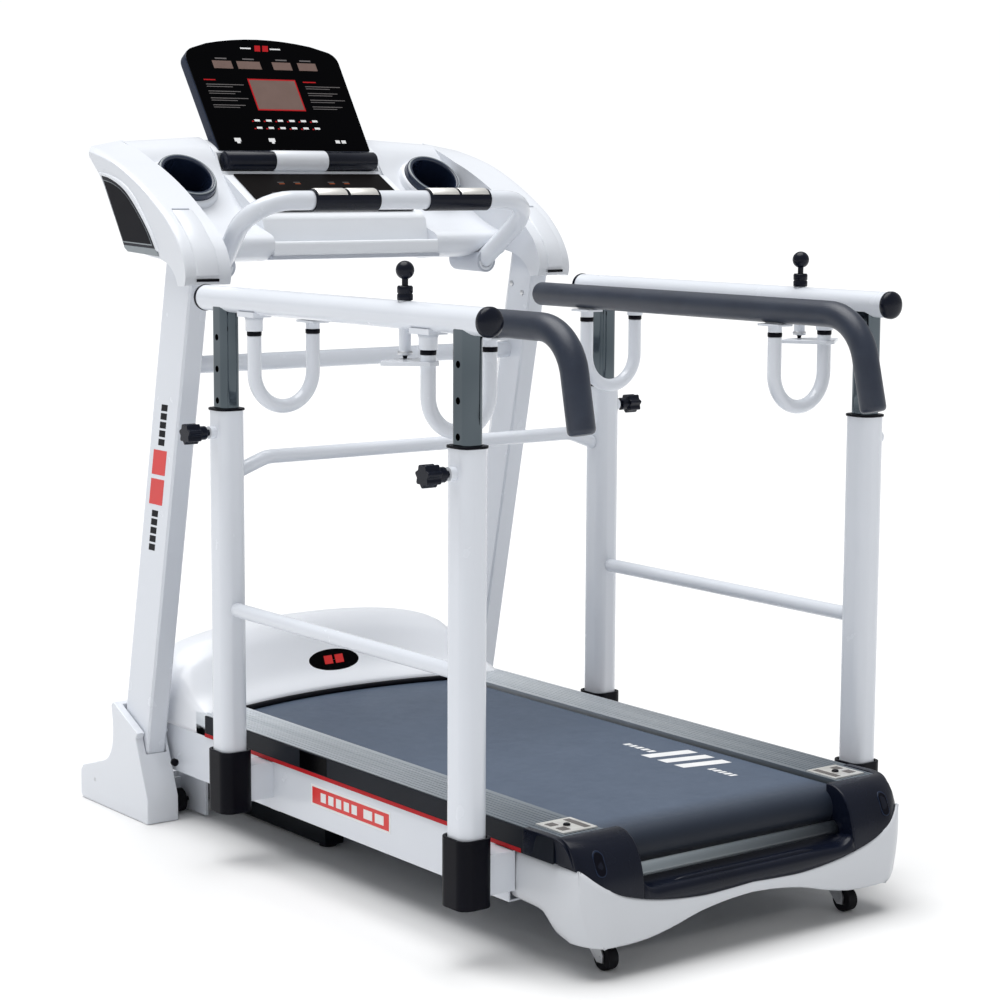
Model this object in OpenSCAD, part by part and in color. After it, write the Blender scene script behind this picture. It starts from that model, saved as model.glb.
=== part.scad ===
// Motorised rehab treadmill: flat running deck, console on two leaning uprights,
// height-adjustable side rails and padded inner grips on swing arms.
// Lengths are in millimetres. X is the user's right, Y is forward, Z is up.

/* [Deck] */
// Half width of the deck across the foot rails
deck_half = 345; // [335:1:350]
// Width of the running belt
belt_w = 484; // [440:1:490]
// Height of the belt's running surface
belt_top = 211; // [205:1:212]
// Radius of the front and rear rollers
roller_r = 30; // [24:1:30]
// Thickness of the running belt
belt_t = 2.6; // [1.5:0.1:3]

/* [Side posts] */
// Distance of the posts from the centre line
post_x = 420; // [415:1:425]
// Half the distance between the front and rear posts
post_y = 352; // [340:1:360]
// Height of the top of the lower tubes
collar_z = 805; // [760:5:830]
// Distance between two height holes
hole_pitch = 54.5; // [45:0.5:60]

/* [Rails and grips] */
// Height of the rail's centre line
rail_z = 996; // [980:1:1010]
// Radius of the rail tube
rail_r = 22; // [19:0.5:24]
// Height of the padded grip's centre line
grip_z = 984; // [975:1:990]
// Radius of the foam on the grip
foam_r = 22; // [18:0.5:23]
// Distance between a swing arm's two upright legs
arm_reach = 117; // [100:1:120]
// Radius of the swing arm's tube
arm_r = 12; // [10:0.5:13]

/* [Uprights] */
// Rearward lean of the uprights, millimetres for each millimetre of height
lean = 0.208; // [0.15:0.002:0.22]
// Inner face of the uprights
upright_in = 362; // [358:1:366]
// Outer face of the uprights
upright_out = 402; // [398:1:404]

/* [Console] */
// Half width of the console
console_half = 430; // [425:1:432]
// Half width of the display board
display_half = 175; // [160:1:180]
// Angle of the display board from the horizontal
display_tilt = 56.4; // [50:0.2:65]
// Distance of the cup holders from the centre line
cup_x = 281; // [270:1:285]
// Inner radius of a cup holder
cup_r = 47; // [40:1:48]
// Height of the handlebar's cross piece
handle_z = 1162; // [1150:1:1180]

/* [Hidden] */
$fn = 48;

// Shapes are drawn with y = 0 midway between the posts; in_frame() moves them to the
// frame whose origin is on the floor under the middle of the whole machine.
rear_y = -548;
front_y = 785 + 262 * cos(display_tilt) + 26 * sin(display_tilt);
centre_y = (rear_y + front_y) / 2;
white = "white";
black = [0.08, 0.09, 0.12];

// Deck levels and stations
beam_bottom = 90;
band_bottom = 177;
foot_rail_top = 218;
foot_rail_in = 251;
deck_rear = -478;
deck_front = 735;
roller_z = belt_top - belt_t - roller_r;
rear_roller_y = -462;
front_roller_y = 650;
roller_gap = 0.3;
caster_x = 257;
caster_axle_y = -494;
caster_swivel_y = -478;
caster_r = 20;

// Post and rail stations
arm_y = [-250, 258];
rail_rear = -405;
rail_front = 420;
plunger_y = -188;
arm_top = 938;
arm_bottom = 816;
pin_r = 7;
pin_gap = 0.05;
knob_z = 767.5;

// Drive and lift stations
motor_y = 745;
motor_z = 190;
pulley_x = -288;
roller_pulley_r = 44;
motor_pulley_r = 16;
lift_y = 832;
lift_z = 116;
lift_len = 160;
lift_tilt = 21;
lever_len = 60;

// ---- helpers ----

module in_frame() translate([0, -centre_y, 0]) children();

module both_sides() { children(); mirror([1, 0, 0]) children(); }

// An outline shrunk by inset
module shrunk(outline, inset) {
    if (inset == 0) polygon(outline);
    else offset(delta = -inset) polygon(outline);
}

// An outline in (y, z), extruded along X from x0 to x1
module side_slab(outline, x0, x1, inset = 0)
    translate([x0, 0, 0]) rotate([90, 0, 90]) linear_extrude(x1 - x0) shrunk(outline, inset);

// An outline in (x, z), extruded along Y from y0 to y1
module cross_slab(outline, y0, y1, inset = 0)
    translate([0, y1, 0]) rotate([90, 0, 0]) linear_extrude(y1 - y0) shrunk(outline, inset);

// A box from its lowest to its highest corner
module block(low, high) translate(low) cube(high - low);

// A round bar between two points
module rod(from, to, r) {
    d = to - from;
    translate(from) rotate([0, acos(d[2] / norm(d)), atan2(d[1], d[0])]) cylinder(h = norm(d), r = r);
}

function unit(v) = v / norm(v);

// The rings of a tube bent in one plane: each is [centre, direction of travel]
function bend_rings(p, i, bend, steps) = let (
    d1 = unit(p[i] - p[i - 1]), d2 = unit(p[i + 1] - p[i]), phi = acos(d1 * d2),
    centre = p[i] + unit(d2 - d1) * bend / cos(phi / 2), u = unit(p[i] - d1 * bend * tan(phi / 2) - centre))
    [for (k = [0 : steps]) let (a = phi * k / steps)
        [centre + bend * (u * cos(a) + d1 * sin(a)), d1 * cos(a) - u * sin(a)]];

function tube_rings(p, bend, steps) = concat([[p[0], unit(p[1] - p[0])]],
    [for (i = [1 : len(p) - 2]) each bend_rings(p, i, bend, steps)],
    [[p[len(p) - 1], unit(p[len(p) - 1] - p[len(p) - 2])]]);

// A tube through the points p, bent with radius bend at the inner points
module bent_tube(p, bend, r, bore = 0, sides = 28, steps = 8) {
    side = unit(cross(p[1] - p[0], p[2] - p[1]));
    rings = tube_rings(p, bend, steps);
    n = len(rings);
    function ring(c, radius) = [for (k = [0 : sides - 1]) let (a = 360 * k / sides)
        c[0] + radius * (cos(a) * side + sin(a) * cross(side, c[1]))];
    outside = [for (c = rings) each ring(c, r)];
    inside = bore > 0 ? [for (c = rings) each ring(c, bore)] : [];
    hole = n * sides;
    function wall(start, i, k) = [start + i * sides + k, start + i * sides + (k + 1) % sides,
        start + (i + 1) * sides + (k + 1) % sides, start + (i + 1) * sides + k];
    function flip(f) = [for (i = [len(f) - 1 : -1 : 0]) f[i]];
    function rim(i, k) = [i * sides + k, hole + i * sides + k, hole + i * sides + (k + 1) % sides,
        i * sides + (k + 1) % sides];
    outer_faces = [for (i = [0 : n - 2], k = [0 : sides - 1]) wall(0, i, k)];
    end_faces = bore > 0
        ? concat([for (i = [0 : n - 2], k = [0 : sides - 1]) flip(wall(hole, i, k))],
            [for (k = [0 : sides - 1]) rim(0, k)], [for (k = [0 : sides - 1]) flip(rim(n - 1, k))])
        : [flip([for (k = [0 : sides - 1]) k]), [for (k = [0 : sides - 1]) (n - 1) * sides + k]];
    polyhedron(points = concat(outside, inside), faces = concat(outer_faces, end_faces));
}

// A rectangle with round corners, centred
module round_rect(w, d, r) {
    square([w - 2 * r, d], center = true);
    square([w, d - 2 * r], center = true);
    for (sx = [-1, 1], sy = [-1, 1]) translate([sx * (w / 2 - r), sy * (d / 2 - r)]) circle(r = r);
}

// A rectangular tube along Z with round corners
module post_tube(w, d, r, wall, z0, z1)
    translate([0, 0, z0]) linear_extrude(z1 - z0) difference() {
        round_rect(w, d, r);
        round_rect(w - 2 * wall, d - 2 * wall, max(r - wall, 2));
    }

// ---- base, uprights and foot covers ----

upright_rear = 714;
upright_depth = 103;

// The upright's level section, shrunk by inset
function upright_outline(inset) = [
    [upright_in + inset, upright_rear + 3 + inset],
    [upright_in + 4 + inset, upright_rear + inset],
    [upright_out - 4 - inset, upright_rear + inset],
    [upright_out - inset, upright_rear + 4 + inset],
    [upright_out - inset, upright_rear + upright_depth - 12 - inset],
    [upright_out - 8 - inset, upright_rear + upright_depth - inset],
    [upright_out - 20, upright_rear + upright_depth - 4 - inset],
    [upright_in + inset, upright_rear + 66 - inset]];

module leaning(z0, z1, inset)
    multmatrix([[1, 0, 0, 0], [0, 1, -lean, 0], [0, 0, 1, 0], [0, 0, 0, 1]])
        translate([0, 0, z0]) linear_extrude(z1 - z0) polygon(upright_outline(inset));

cross_z = 864;
cross_y = upright_rear + 50 - lean * cross_z;

module upright_frame() in_frame() color(white) {
    both_sides() difference() {
        leaning(12, 1070, 0);
        leaning(14, 1068, 2.5);
    }
    difference() {
        rod([-upright_in - 1, cross_y, cross_z], [upright_in + 1, cross_y, cross_z], 16);
        rod([-upright_in - 2, cross_y, cross_z], [upright_in + 2, cross_y, cross_z], 13.5);
    }
}

rail_foot_in = 200;
rail_foot_top = 36;
wheel_x = 325;
wheel_y = 708;
wheel_r = 22;

// The base: foot plates under the uprights, front and middle cross tubes, lift brackets
module base_frame() in_frame() color(white) {
    both_sides() {
        block([upright_in - 4.7, 700, 4], [upright_out + 6, 880, 12]);
        block([302, 734, 4], [upright_in - 2, 742, 60]);
        difference() {
            block([298, 640, 4], [304, 742, 78]);
            rod([290, wheel_y, wheel_r + 2], [310, wheel_y, wheel_r + 2], 4.05);
        }
    }
    difference() {
        block([-upright_out, 850, 12], [upright_out, 880, 40]);
        block([-upright_out + 3, 853, 15], [upright_out - 3, 877, 37]);
    }
    both_sides() difference() {
        block([224, lift_y - 24, 38], [230, 880, lift_z + 26]);
        rod([220, lift_y, lift_z], [236, lift_y, lift_z], 10.05);
    }
    both_sides() {
        block([34, 480, rail_foot_top], [rail_foot_in + 40, 510, rail_foot_top + 6]);
        block([34, 480, rail_foot_top], [38, 510, 86]);
    }
}

module base_rails() in_frame() color(black) both_sides() difference() {
    block([rail_foot_in, 324, 6], [rail_foot_in + 40, 850, rail_foot_top]);
    block([rail_foot_in + 3, 327, 9], [rail_foot_in + 37, 847, rail_foot_top - 3]);
}

module floor_pads() in_frame() color(black) both_sides() {
    for (y = [346, 820]) translate([rail_foot_in + 20, y, 0]) cylinder(h = 6, r = 16);
    translate([(upright_in + upright_out) / 2, 860, 0]) cylinder(h = 4, r = 18);
    translate([(upright_in + upright_out) / 2, 720, 0]) cylinder(h = 4, r = 18);
}

foot_in = 354;
foot_out = 420;
foot_outline = [[655, 0], [914, 0], [921, 8], [920, 56], [911, 66], [812, 97], [794, 118], [786, 150],
    [792, 206], [785, 213], [690, 168], [697, 158], [655, 48]];
module foot_covers() in_frame() color(white) both_sides() difference() {
    side_slab(foot_outline, foot_in, foot_out);
    difference() {
        side_slab(concat([[655, -9], [914, -9]], [for (i = [1 : len(foot_outline) - 1]) foot_outline[i]]),
            foot_in + 3, foot_out - 3, 3);
        block([foot_in, 640, 60], [upright_in - 1.5, 700, 80]);
    }
    leaning(100, 260, -1);
    block([foot_in - 1, 700, -1], [foot_in + 20, 742.5, 60.5]);
    block([foot_in - 1, 840, -1], [foot_in + 20, 890, 42]);
}

module transport_wheels() in_frame() color(black) {
    both_sides() {
        rod([wheel_x - 9, wheel_y, wheel_r + 2], [wheel_x + 9, wheel_y, wheel_r + 2], wheel_r);
        rod([294, wheel_y, wheel_r + 2], [wheel_x, wheel_y, wheel_r + 2], 4);
    }
}

// ---- incline lift ----

lift_end = [lift_y - lift_len * cos(lift_tilt), lift_z - lift_len * sin(lift_tilt)];
lever_end = [lift_y + lever_len * sin(lift_tilt), lift_z - lever_len * cos(lift_tilt)];
screw_z = lift_z - lever_len * (1 + cos(lift_tilt)) / 2;

// A flat link with round eyes, from a to b in (y, z)
module link(a, b, x0, x1, r) {
    n = unit([a[1] - b[1], b[0] - a[0]]) * (r - 2);
    side_slab([a + n, b + n, b - n, a - n], x0, x1);
    for (p = [a, b]) rod([x0, p[0], p[1]], [x1, p[0], p[1]], r);
}

module lift_arm() in_frame() color([0.3, 0.32, 0.35]) {
    rod([-234, lift_y, lift_z], [234, lift_y, lift_z], 10);
    rod([-216, lift_y, lift_z], [216, lift_y, lift_z], 18);
    both_sides() {
        link([lift_y, lift_z], lift_end, 190, 202, 15);
        rod([172, lift_end[0], lift_end[1]], [200, lift_end[0], lift_end[1]], 8);
        rod([168, lift_end[0], lift_end[1]], [186, lift_end[0], lift_end[1]], 14);
        link([lift_y, lift_z], lever_end, 15, 21, 11);
    }
    rod([-18, lever_end[0], lever_end[1]], [18, lever_end[0], lever_end[1]], 5);
}

motor_end_y = 640;

module incline_motor() in_frame() color([0.15, 0.16, 0.18]) difference() {
    union() {
        rod([0, 470, screw_z], [0, 560, screw_z], 27);
        rod([0, 560, screw_z], [0, motor_end_y, screw_z], 15);
        block([-34, 484, screw_z - 12], [34, 506, screw_z + 12]);
    }
    rod([0, 562, screw_z], [0, motor_end_y + 1, screw_z], 11.05);
}

// The screw tube and its fork, with an upright slot for the lever's pin
module lift_screw() in_frame() color("silver") {
    rod([0, 630, screw_z], [0, lever_end[0] - 10, screw_z], 11);
    difference() {
        block([-12, lever_end[0] - 16, screw_z - 15], [12, lever_end[0] + 14, screw_z + 15]);
        block([-13, lever_end[0] - 5.4, screw_z - 11], [13, lever_end[0] + 5.4, screw_z + 11]);
    }
}

// ---- deck ----

pad_z = 74.4;
pulley_plate = [262, 268];

module deck_frame() in_frame() color(white) {
    both_sides() {
        difference() {
            block([300, shell_front + 0.3, beam_bottom], [deck_half, deck_front, band_bottom]);
            block([303, shell_front, beam_bottom + 3], [deck_half - 3, deck_front + 1, band_bottom - 3]);
        }
        block([302, deck_rear + 2, 130], [330, shell_front + 40, 168]);
        block([302, 601, band_bottom - 1], [306, deck_front, 200]);
        for (y = [-post_y, post_y]) block([deck_half - 1, y - 24, 112], [post_x - 25.3, y + 24, 176]);
        block([168, 640, pad_z], [186, 720, 131]);
        translate([caster_x, caster_swivel_y, 0]) difference() {
            union() {
                translate([-32, -30, 62]) cube([64, 60, 6]);
                translate([0, 0, 52]) cylinder(h = 12, r = 14);
                translate([45, -12, 62]) cube([8, 44, 100]);
            }
            translate([0, 0, 51]) cylinder(h = 12, r = 6.05);
        }
        block([264, -448, 150], [304, -440, 165]);
        block([288, -500, 62], [304, -440, 68]);
        for (y = [rear_roller_y, front_roller_y]) difference() {
            block([pulley_plate[0], y - 16, 133], [pulley_plate[1], y + 18, 194]);
            rod([pulley_plate[0] - 1, y, roller_z], [pulley_plate[1] + 1, y, roller_z], 8.05);
        }
    }
    for (y = [-340, -140, 120, 380, 588]) difference() {
        block([-301, y, 118], [301, y + 30, 142]);
        block([-298, y + 3, 121], [298, y + 27, 139]);
    }
    difference() {
        block([-301, 622, 130], [301, 733, 135]);
        block([-302, 621, 129], [-276, 690, 136]);
    }
}

board_edge = [-424, 612];

module running_board() in_frame() color([0.35, 0.3, 0.25]) {
    block([-foot_rail_in + 1, board_edge[0], belt_top - belt_t - 20], [foot_rail_in - 1, board_edge[1],
        belt_top - belt_t - 0.4]);
}

// Rubber blocks between the cross members and the board's edges
module board_cushions() in_frame() color(black) both_sides() for (y = [-325, -125, 135, 395])
    block([foot_rail_in - 6, y - 8, 142.1], [foot_rail_in + 20, y + 8, belt_top - belt_t - 20.1]);

// The belt's outline in (y, z): round over both rollers, straight between them
function belt_outline(r) = concat(
    [for (a = [0 : 7.5 : 180]) [rear_roller_y - r * sin(a), roller_z + r * cos(a)]],
    [for (a = [180 : -7.5 : 0]) [front_roller_y + r * sin(a), roller_z + r * cos(a)]]);

module running_belt() in_frame() color([0.38, 0.43, 0.5]) difference() {
    side_slab(belt_outline(roller_r + belt_t), -belt_w / 2, belt_w / 2);
    side_slab(belt_outline(roller_r + roller_gap), -belt_w / 2 - 1, belt_w / 2 + 1);
}

// Foot rail with grooves along its top
module foot_rails() in_frame() color("silver") both_sides() difference() {
    union() {
        block([foot_rail_in, deck_rear, 199], [deck_half, 600, foot_rail_top]);
        block([deck_half - 4, shell_front + 4, band_bottom], [deck_half, 600, 200]);
    }
    block([foot_rail_in + 3, deck_rear - 1, 170], [deck_half - 4, 601, foot_rail_top - 4]);
    for (x = [foot_rail_in + 12 : 9 : deck_half - 8])
        block([x, deck_rear - 1, foot_rail_top - 1.2], [x + 3, 601, foot_rail_top + 1]);
}

module side_trims() in_frame() color(black) both_sides()
    block([deck_half, deck_rear + 2, band_bottom], [deck_half + 4, 562, foot_rail_top - 1]);

// Plan outline of the rear corner: straight rear edge, rounded corner, straight side
function rear_plan(half, rear, corner, front) = concat([[0, front], [0, rear]],
    [for (a = [0 : 15 : 90]) [half - corner + corner * sin(a), rear + corner - corner * cos(a)]],
    [[half, front]]);

shell_front = -362;
shell_side = [[shell_front, 100], [-440, 95], [-470, 70], [-500, 64], [-560, 50], [-560, 112], [-538, 128],
    [-520, 150], [-508, 172], [-400, 172], [shell_front, 172]];
shell_arch = [[-216, 40], [-216, 53], [-160, 64], [-100, 78], [-50, 86], [0, 89], [50, 86], [100, 78],
    [160, 64], [216, 53], [216, 40]];

module rear_shell() in_frame() color(white) difference() {
    both_sides() intersection() {
        translate([0, 0, 40]) linear_extrude(150) polygon(rear_plan(341, rear_y, 42, shell_front));
        side_slab(shell_side, 0, 345);
    }
    both_sides() translate([0, 0, 30]) linear_extrude(170)
        polygon(rear_plan(337, rear_y + 4, 38, shell_front + 10));
    cross_slab(shell_arch, -560, -530);
}

// Rear corner caps with a cross bar between them, hollow from the front and below
bezel_side = [[deck_rear - 0.3, 219], [-492, 218], [-508, 212], [-522, 200], [-534, 182], [-542, 160],
    [-546, 132], [-546, 108]];
cap_slope = 223;

module rear_bezel() in_frame() color(black) {
    both_sides() difference() {
        intersection() {
            side_slab(concat(bezel_side, [[deck_rear - 0.3, 108]]), cap_slope, 338);
            translate([0, 0, 100]) linear_extrude(130) polygon(rear_plan(336.5, rear_y + 4.5, 37.5, deck_rear - 0.3));
        }
        intersection() {
            side_slab(concat(bezel_side, [[-546, 90], [deck_rear + 9, 90], [deck_rear + 9, 219]]),
                cap_slope + 4, 334, 4);
            translate([0, 0, 90]) linear_extrude(140) polygon(rear_plan(332.5, rear_y + 8.5, 33.5, deck_rear));
        }
        block([cap_slope - 1, -497, 140], [cap_slope + 6, deck_rear + 1, 230]);
        translate([295, -540, 176]) rotate([90, 0, 0]) linear_extrude(30, center = true) round_rect(9, 26, 4.4);
    }
    difference() {
        block([-cap_slope - 1, -543.5, 108], [cap_slope + 1, -512, 140]);
        block([-cap_slope - 2, -539.5, 100], [cap_slope + 2, -511, 134]);
    }
    block([-216, -512.5, 150], [216, -509, 160]);
    both_sides() block([216, -512.5, 150], [cap_slope + 5, -509, 160]);
}

// ---- hood, motor and drive ----

hood_side = [[566, 217], [575, 224], [617, 245], [660, 285], [690, 318], [730, 342], [770, 340], [820, 318],
    [858, 270], [866, 220], [866, 177.3]];
hood_cross = [[-345, 176], [-345, 262], [-330, 298], [-227, 325], [-100, 338], [0, 342], [100, 338], [227, 325],
    [330, 298], [345, 262], [345, 176]];
module motor_hood() in_frame() color(white) difference() {
    intersection() {
        side_slab(concat(hood_side, [[566, 177.3]]), -deck_half, deck_half);
        cross_slab(hood_cross, 560, 870);
    }
    intersection() {
        side_slab(concat(hood_side, [[866, 160], [566, 160]]), -deck_half + 4, deck_half - 4, 4);
        cross_slab(concat(hood_cross, [[345, 160], [-345, 160]]), 550, 870, 4);
    }
    block([-foot_rail_in - 100, 560, 170], [foot_rail_in + 100, 640, 219]);
    block([-foot_rail_in, 559, 170], [foot_rail_in, 590, 230]);
}

module drive_motor() in_frame() color([0.18, 0.18, 0.2]) {
    difference() {
        union() {
            rod([-150, motor_y, motor_z], [40, motor_y, motor_z], 48);
            block([-130, motor_y - 40, 135], [20, motor_y - 30, motor_z]);
        }
        rod([-151, motor_y, motor_z], [30, motor_y, motor_z], 9.05);
    }
}

module motor_pulley() in_frame() color("gray") {
    rod([pulley_x - 14, motor_y, motor_z], [20, motor_y, motor_z], 9);
    rod([pulley_x - 12, motor_y, motor_z], [pulley_x + 12, motor_y, motor_z], motor_pulley_r);
    rod([-215, motor_y, motor_z], [-175, motor_y, motor_z], 46);
}

module motor_controller() in_frame() color([0.1, 0.3, 0.18]) {
    block([110, 688, 135.2], [240, 732, 139]);
    for (x = [130 : 28 : 216]) block([x, 692, 138.5], [x + 16, 728, 172]);
}

// Ribbed belt from the motor pulley to the front roller's pulley
module drive_belt() in_frame() color(black) difference() {
    drive_belt_solid(3);
    drive_belt_solid(0.3);
}

// Outline round two pulleys of radius big at 0 and small at far
function pulley_outline(big, small, far) = let (slope = asin((big - small) / far), turn = 90 + slope) concat(
    [for (k = [0 : 24]) let (a = 180 - turn + 2 * turn * k / 24) [big * cos(a), big * sin(a)]],
    [for (k = [0 : 16]) let (a = (180 - turn) * (k / 8 - 1)) [far + small * cos(a), small * sin(a)]]);

module drive_belt_solid(gap) {
    span = [motor_y - front_roller_y, motor_z - roller_z];
    wide = gap > 1 ? 9 : 10;
    translate([pulley_x, front_roller_y, roller_z]) rotate([atan2(span[1], span[0]), 0, 0])
        side_slab(pulley_outline(roller_pulley_r + gap, motor_pulley_r + gap, norm(span)), -wide, wide);
}

module roller(y, x0, x1) {
    rod([-belt_w / 2 + 1, y, roller_z], [belt_w / 2 - 1, y, roller_z], roller_r);
    rod([x0, y, roller_z], [x1, y, roller_z], 8);
}

module front_roller() in_frame() color("silver") {
    roller(front_roller_y, pulley_x - 10, 290);
    rod([pulley_x - 9.5, front_roller_y, roller_z], [pulley_x + 9.5, front_roller_y, roller_z], roller_pulley_r);
}

module rear_roller() in_frame() color("silver") roller(rear_roller_y, -290, 290);

// ---- side frames ----

bar_r = 12.5;
side_bar_z = 458;

module lower_post() difference() {
    post_tube(50, 57, 19, 2.5, 100, collar_z);
    translate([0, 0, knob_z]) rotate([0, 90, 0]) cylinder(h = 40, r = 5.6);
}

module side_frames() in_frame() color(white) both_sides() {
    for (y = [-post_y, post_y]) translate([post_x, y, 0]) lower_post();
    rod([post_x, -post_y + 28, side_bar_z], [post_x, post_y - 28, side_bar_z], bar_r);
    for (y = [-post_y, post_y]) translate([post_x + 24.5, y, knob_z]) rotate([0, 90, 0]) difference() {
        cylinder(h = 12, r = 11);
        translate([0, 0, -1]) cylinder(h = 14, r = 5.6);
    }
}

module front_cross_bar() in_frame() color(white) {
    end = post_x - 25.3;
    difference() {
        bent_tube([[-end - 6, post_y, 696], [-340, post_y, 718], [340, post_y, 718], [end + 6, post_y, 696]],
            60, bar_r, bar_r - 2.5, steps = 3);
        both_sides() block([end, post_y - 20, 670], [end + 20, post_y + 20, 730]);
    }
}

module post_boots() in_frame() color(black) both_sides()
    for (y = [-post_y, post_y]) translate([post_x, y, 0]) {
        difference() {
            union() {
                post_tube(62, 68, 20, 5.3, 100, 206);
                translate([0, 0, 96]) linear_extrude(4) round_rect(62, 68, 20);
            }
            block([-40, -24.2, 111.8], [-20, 24.2, 190.2]);
        }
    }

// Guide bushes at the top of the lower tubes
module post_collars() in_frame() color(black) both_sides()
    for (y = [-post_y, post_y]) translate([post_x, y, 0]) difference() {
        union() {
            translate([0, 0, collar_z]) linear_extrude(4) round_rect(54, 61, 20);
            translate([0, 0, collar_z - 24]) linear_extrude(24.1) round_rect(44.8, 51.8, 16.4);
        }
        translate([0, 0, collar_z - 25]) linear_extrude(40) round_rect(36.6, 42.6, 12.3);
    }

// ---- casters ----

module caster_fork(x) in_frame() color("silver") {
    translate([x, caster_swivel_y, 44]) cylinder(h = 18, r = 6);
    translate([x, caster_swivel_y, 42]) cylinder(h = 9.6, r = 14);
    for (s = [-1, 1]) translate([x + s * 12.5, 0, 0]) side_slab([[caster_swivel_y + 12, 46],
        [caster_swivel_y - 14, 46], [caster_axle_y - 8, 26], [caster_axle_y - 7, 14], [caster_axle_y + 6, 13],
        [caster_swivel_y + 12, 34]], -1.5, 1.5);
    translate([x - 14, caster_swivel_y - 14, 43]) cube([28, 26, 3]);
    rod([x - 15, caster_axle_y, caster_r], [x + 15, caster_axle_y, caster_r], 4);
}

module caster_wheel(x) in_frame() color(black) difference() {
    rod([x - 9.5, caster_axle_y, caster_r], [x + 9.5, caster_axle_y, caster_r], caster_r);
    rod([x - 11, caster_axle_y, caster_r], [x + 11, caster_axle_y, caster_r], 4.05);
}

// ---- rails, arms and grips, drawn for the right side ----

rail_hole_top = 931;

module rail_tube() difference() {
    union() {
        rod([post_x, rail_rear, rail_z], [post_x, rail_front, rail_z], rail_r);
        translate([post_x, plunger_y, rail_z - rail_r - 40]) cylinder(h = 2 * rail_r + 62, r = 9.5);
        for (y = arm_y) {
            block([post_x - 18, y - 26, rail_z - rail_r - 4], [post_x + 18, y + 26, rail_z - rail_r + 5]);
            translate([post_x, y, arm_top + 8]) cylinder(h = 34, r = arm_r);
            translate([post_x, y, arm_top - 24]) cylinder(h = 40, r = pin_r);
        }
    }
    rod([post_x, rail_rear + 3, rail_z], [post_x, rail_front - 3, rail_z], rail_r - 2.5);
    translate([post_x, plunger_y, rail_z - rail_r - 50]) cylinder(h = 2 * rail_r + 76, r = 5.05);
}

module rail_post() difference() {
    post_tube(36, 42, 12, 2.5, 520, rail_z - 6);
    rod([0, -50, rail_z], [0, 50, rail_z], rail_r + 0.02);
    for (k = [0 : 5]) translate([0, 0, rail_hole_top - k * hole_pitch]) rotate([0, 90, 0])
        cylinder(h = 30, r = 5.6);
}

module rail_posts() for (y = [-post_y, post_y]) translate([post_x, y, 0]) rail_post();

// A U-shaped arm: outer leg under the rail, inner leg under the grip
module swing_arm(y) difference() {
    outer = post_x;
    inner = post_x - arm_reach;
    half = arm_reach / 2;
    union() {
        for (x = [outer, inner]) rod([x, y, arm_bottom + half], [x, y, arm_top], arm_r);
        translate([inner + half, y, arm_bottom + half]) rotate([90, 180, 0])
            rotate_extrude(angle = 180) translate([half, 0]) circle(r = arm_r);
    }
    for (x = [outer, inner]) translate([x, y, arm_top - 30]) cylinder(h = 40, r = pin_r + pin_gap);
}

index_r = plunger_y - arm_y[0];
index_z = 922;

// The rear arm carries an index plate with a hole each 15 degrees
module rear_swing_arm() {
    swing_arm(arm_y[0]);
    translate([post_x, arm_y[0], index_z]) difference() {
        linear_extrude(6) intersection() {
            circle(r = index_r + 11, $fn = 96);
            polygon([[-9, -16], [-66, 72], [0, 120], [88, 52], [9, -16]]);
        }
        translate([0, 0, -1]) cylinder(h = 8, r = 8);
        for (a = [-45 : 15 : 30]) rotate(a) translate([0, index_r, -1]) cylinder(h = 8, r = 4.4);
    }
}

grip_x = post_x - arm_reach;
grip_front = 402;
grip_rear = -470;
grip_bend = [grip_x, grip_rear + 22, grip_z];
grip_path = [[grip_x, grip_front, grip_z], grip_bend, [grip_x + 3, grip_rear - 14, grip_z - 156]];
bar_path = [[grip_x, grip_front - 6, grip_z], grip_bend, [grip_x + 2.85, grip_rear - 12.2, grip_z - 148]];

module grip_bar() {
    bent_tube(bar_path, 86, 15, 12.5);
    for (y = arm_y) {
        block([grip_x - 17, y - 26, grip_z - foam_r - 5], [grip_x + 17, y + 26, grip_z - foam_r - 1]);
        block([grip_x - 5, y - 20, grip_z - foam_r - 1.5], [grip_x + 5, y + 20, grip_z - 13.7]);
        translate([grip_x, y, arm_top + 8]) cylinder(h = grip_z - foam_r - 2 - arm_top - 8, r = arm_r);
        translate([grip_x, y, arm_top - 24]) cylinder(h = 40, r = pin_r);
    }
}

module grip_foam() difference() {
    bent_tube(grip_path, 86, foam_r, 15.1);
    for (y = arm_y) block([grip_x - 5.5, y - 20.5, grip_z - foam_r - 2], [grip_x + 5.5, y + 20.5, grip_z - 12.4]);
}

module plunger() {
    translate([post_x, plunger_y, index_z + 6.4]) cylinder(h = 4, r1 = 3, r2 = 4);
    translate([post_x, plunger_y, index_z + 10.3]) cylinder(h = 60, r = 4);
    translate([post_x, plunger_y, index_z + 60]) cylinder(h = 76, r = 5);
    translate([post_x, plunger_y, rail_z + 69]) sphere(r = 14.5);
}

// Star knob on a threaded locking pin, along +X from the post
module star_knob(y) translate([post_x, y, knob_z]) rotate([0, 90, 0]) {
    translate([0, 0, 18.4]) cylinder(h = 40, r = 5.5);
    translate([0, 0, 43.5]) cylinder(h = 15, r = 12);
    translate([0, 0, 58]) linear_extrude(26)
        polygon([for (a = [2 : 4 : 358]) (16.3 + 2 * cos(7 * a)) * [cos(a), sin(a)]]);
}

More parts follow.
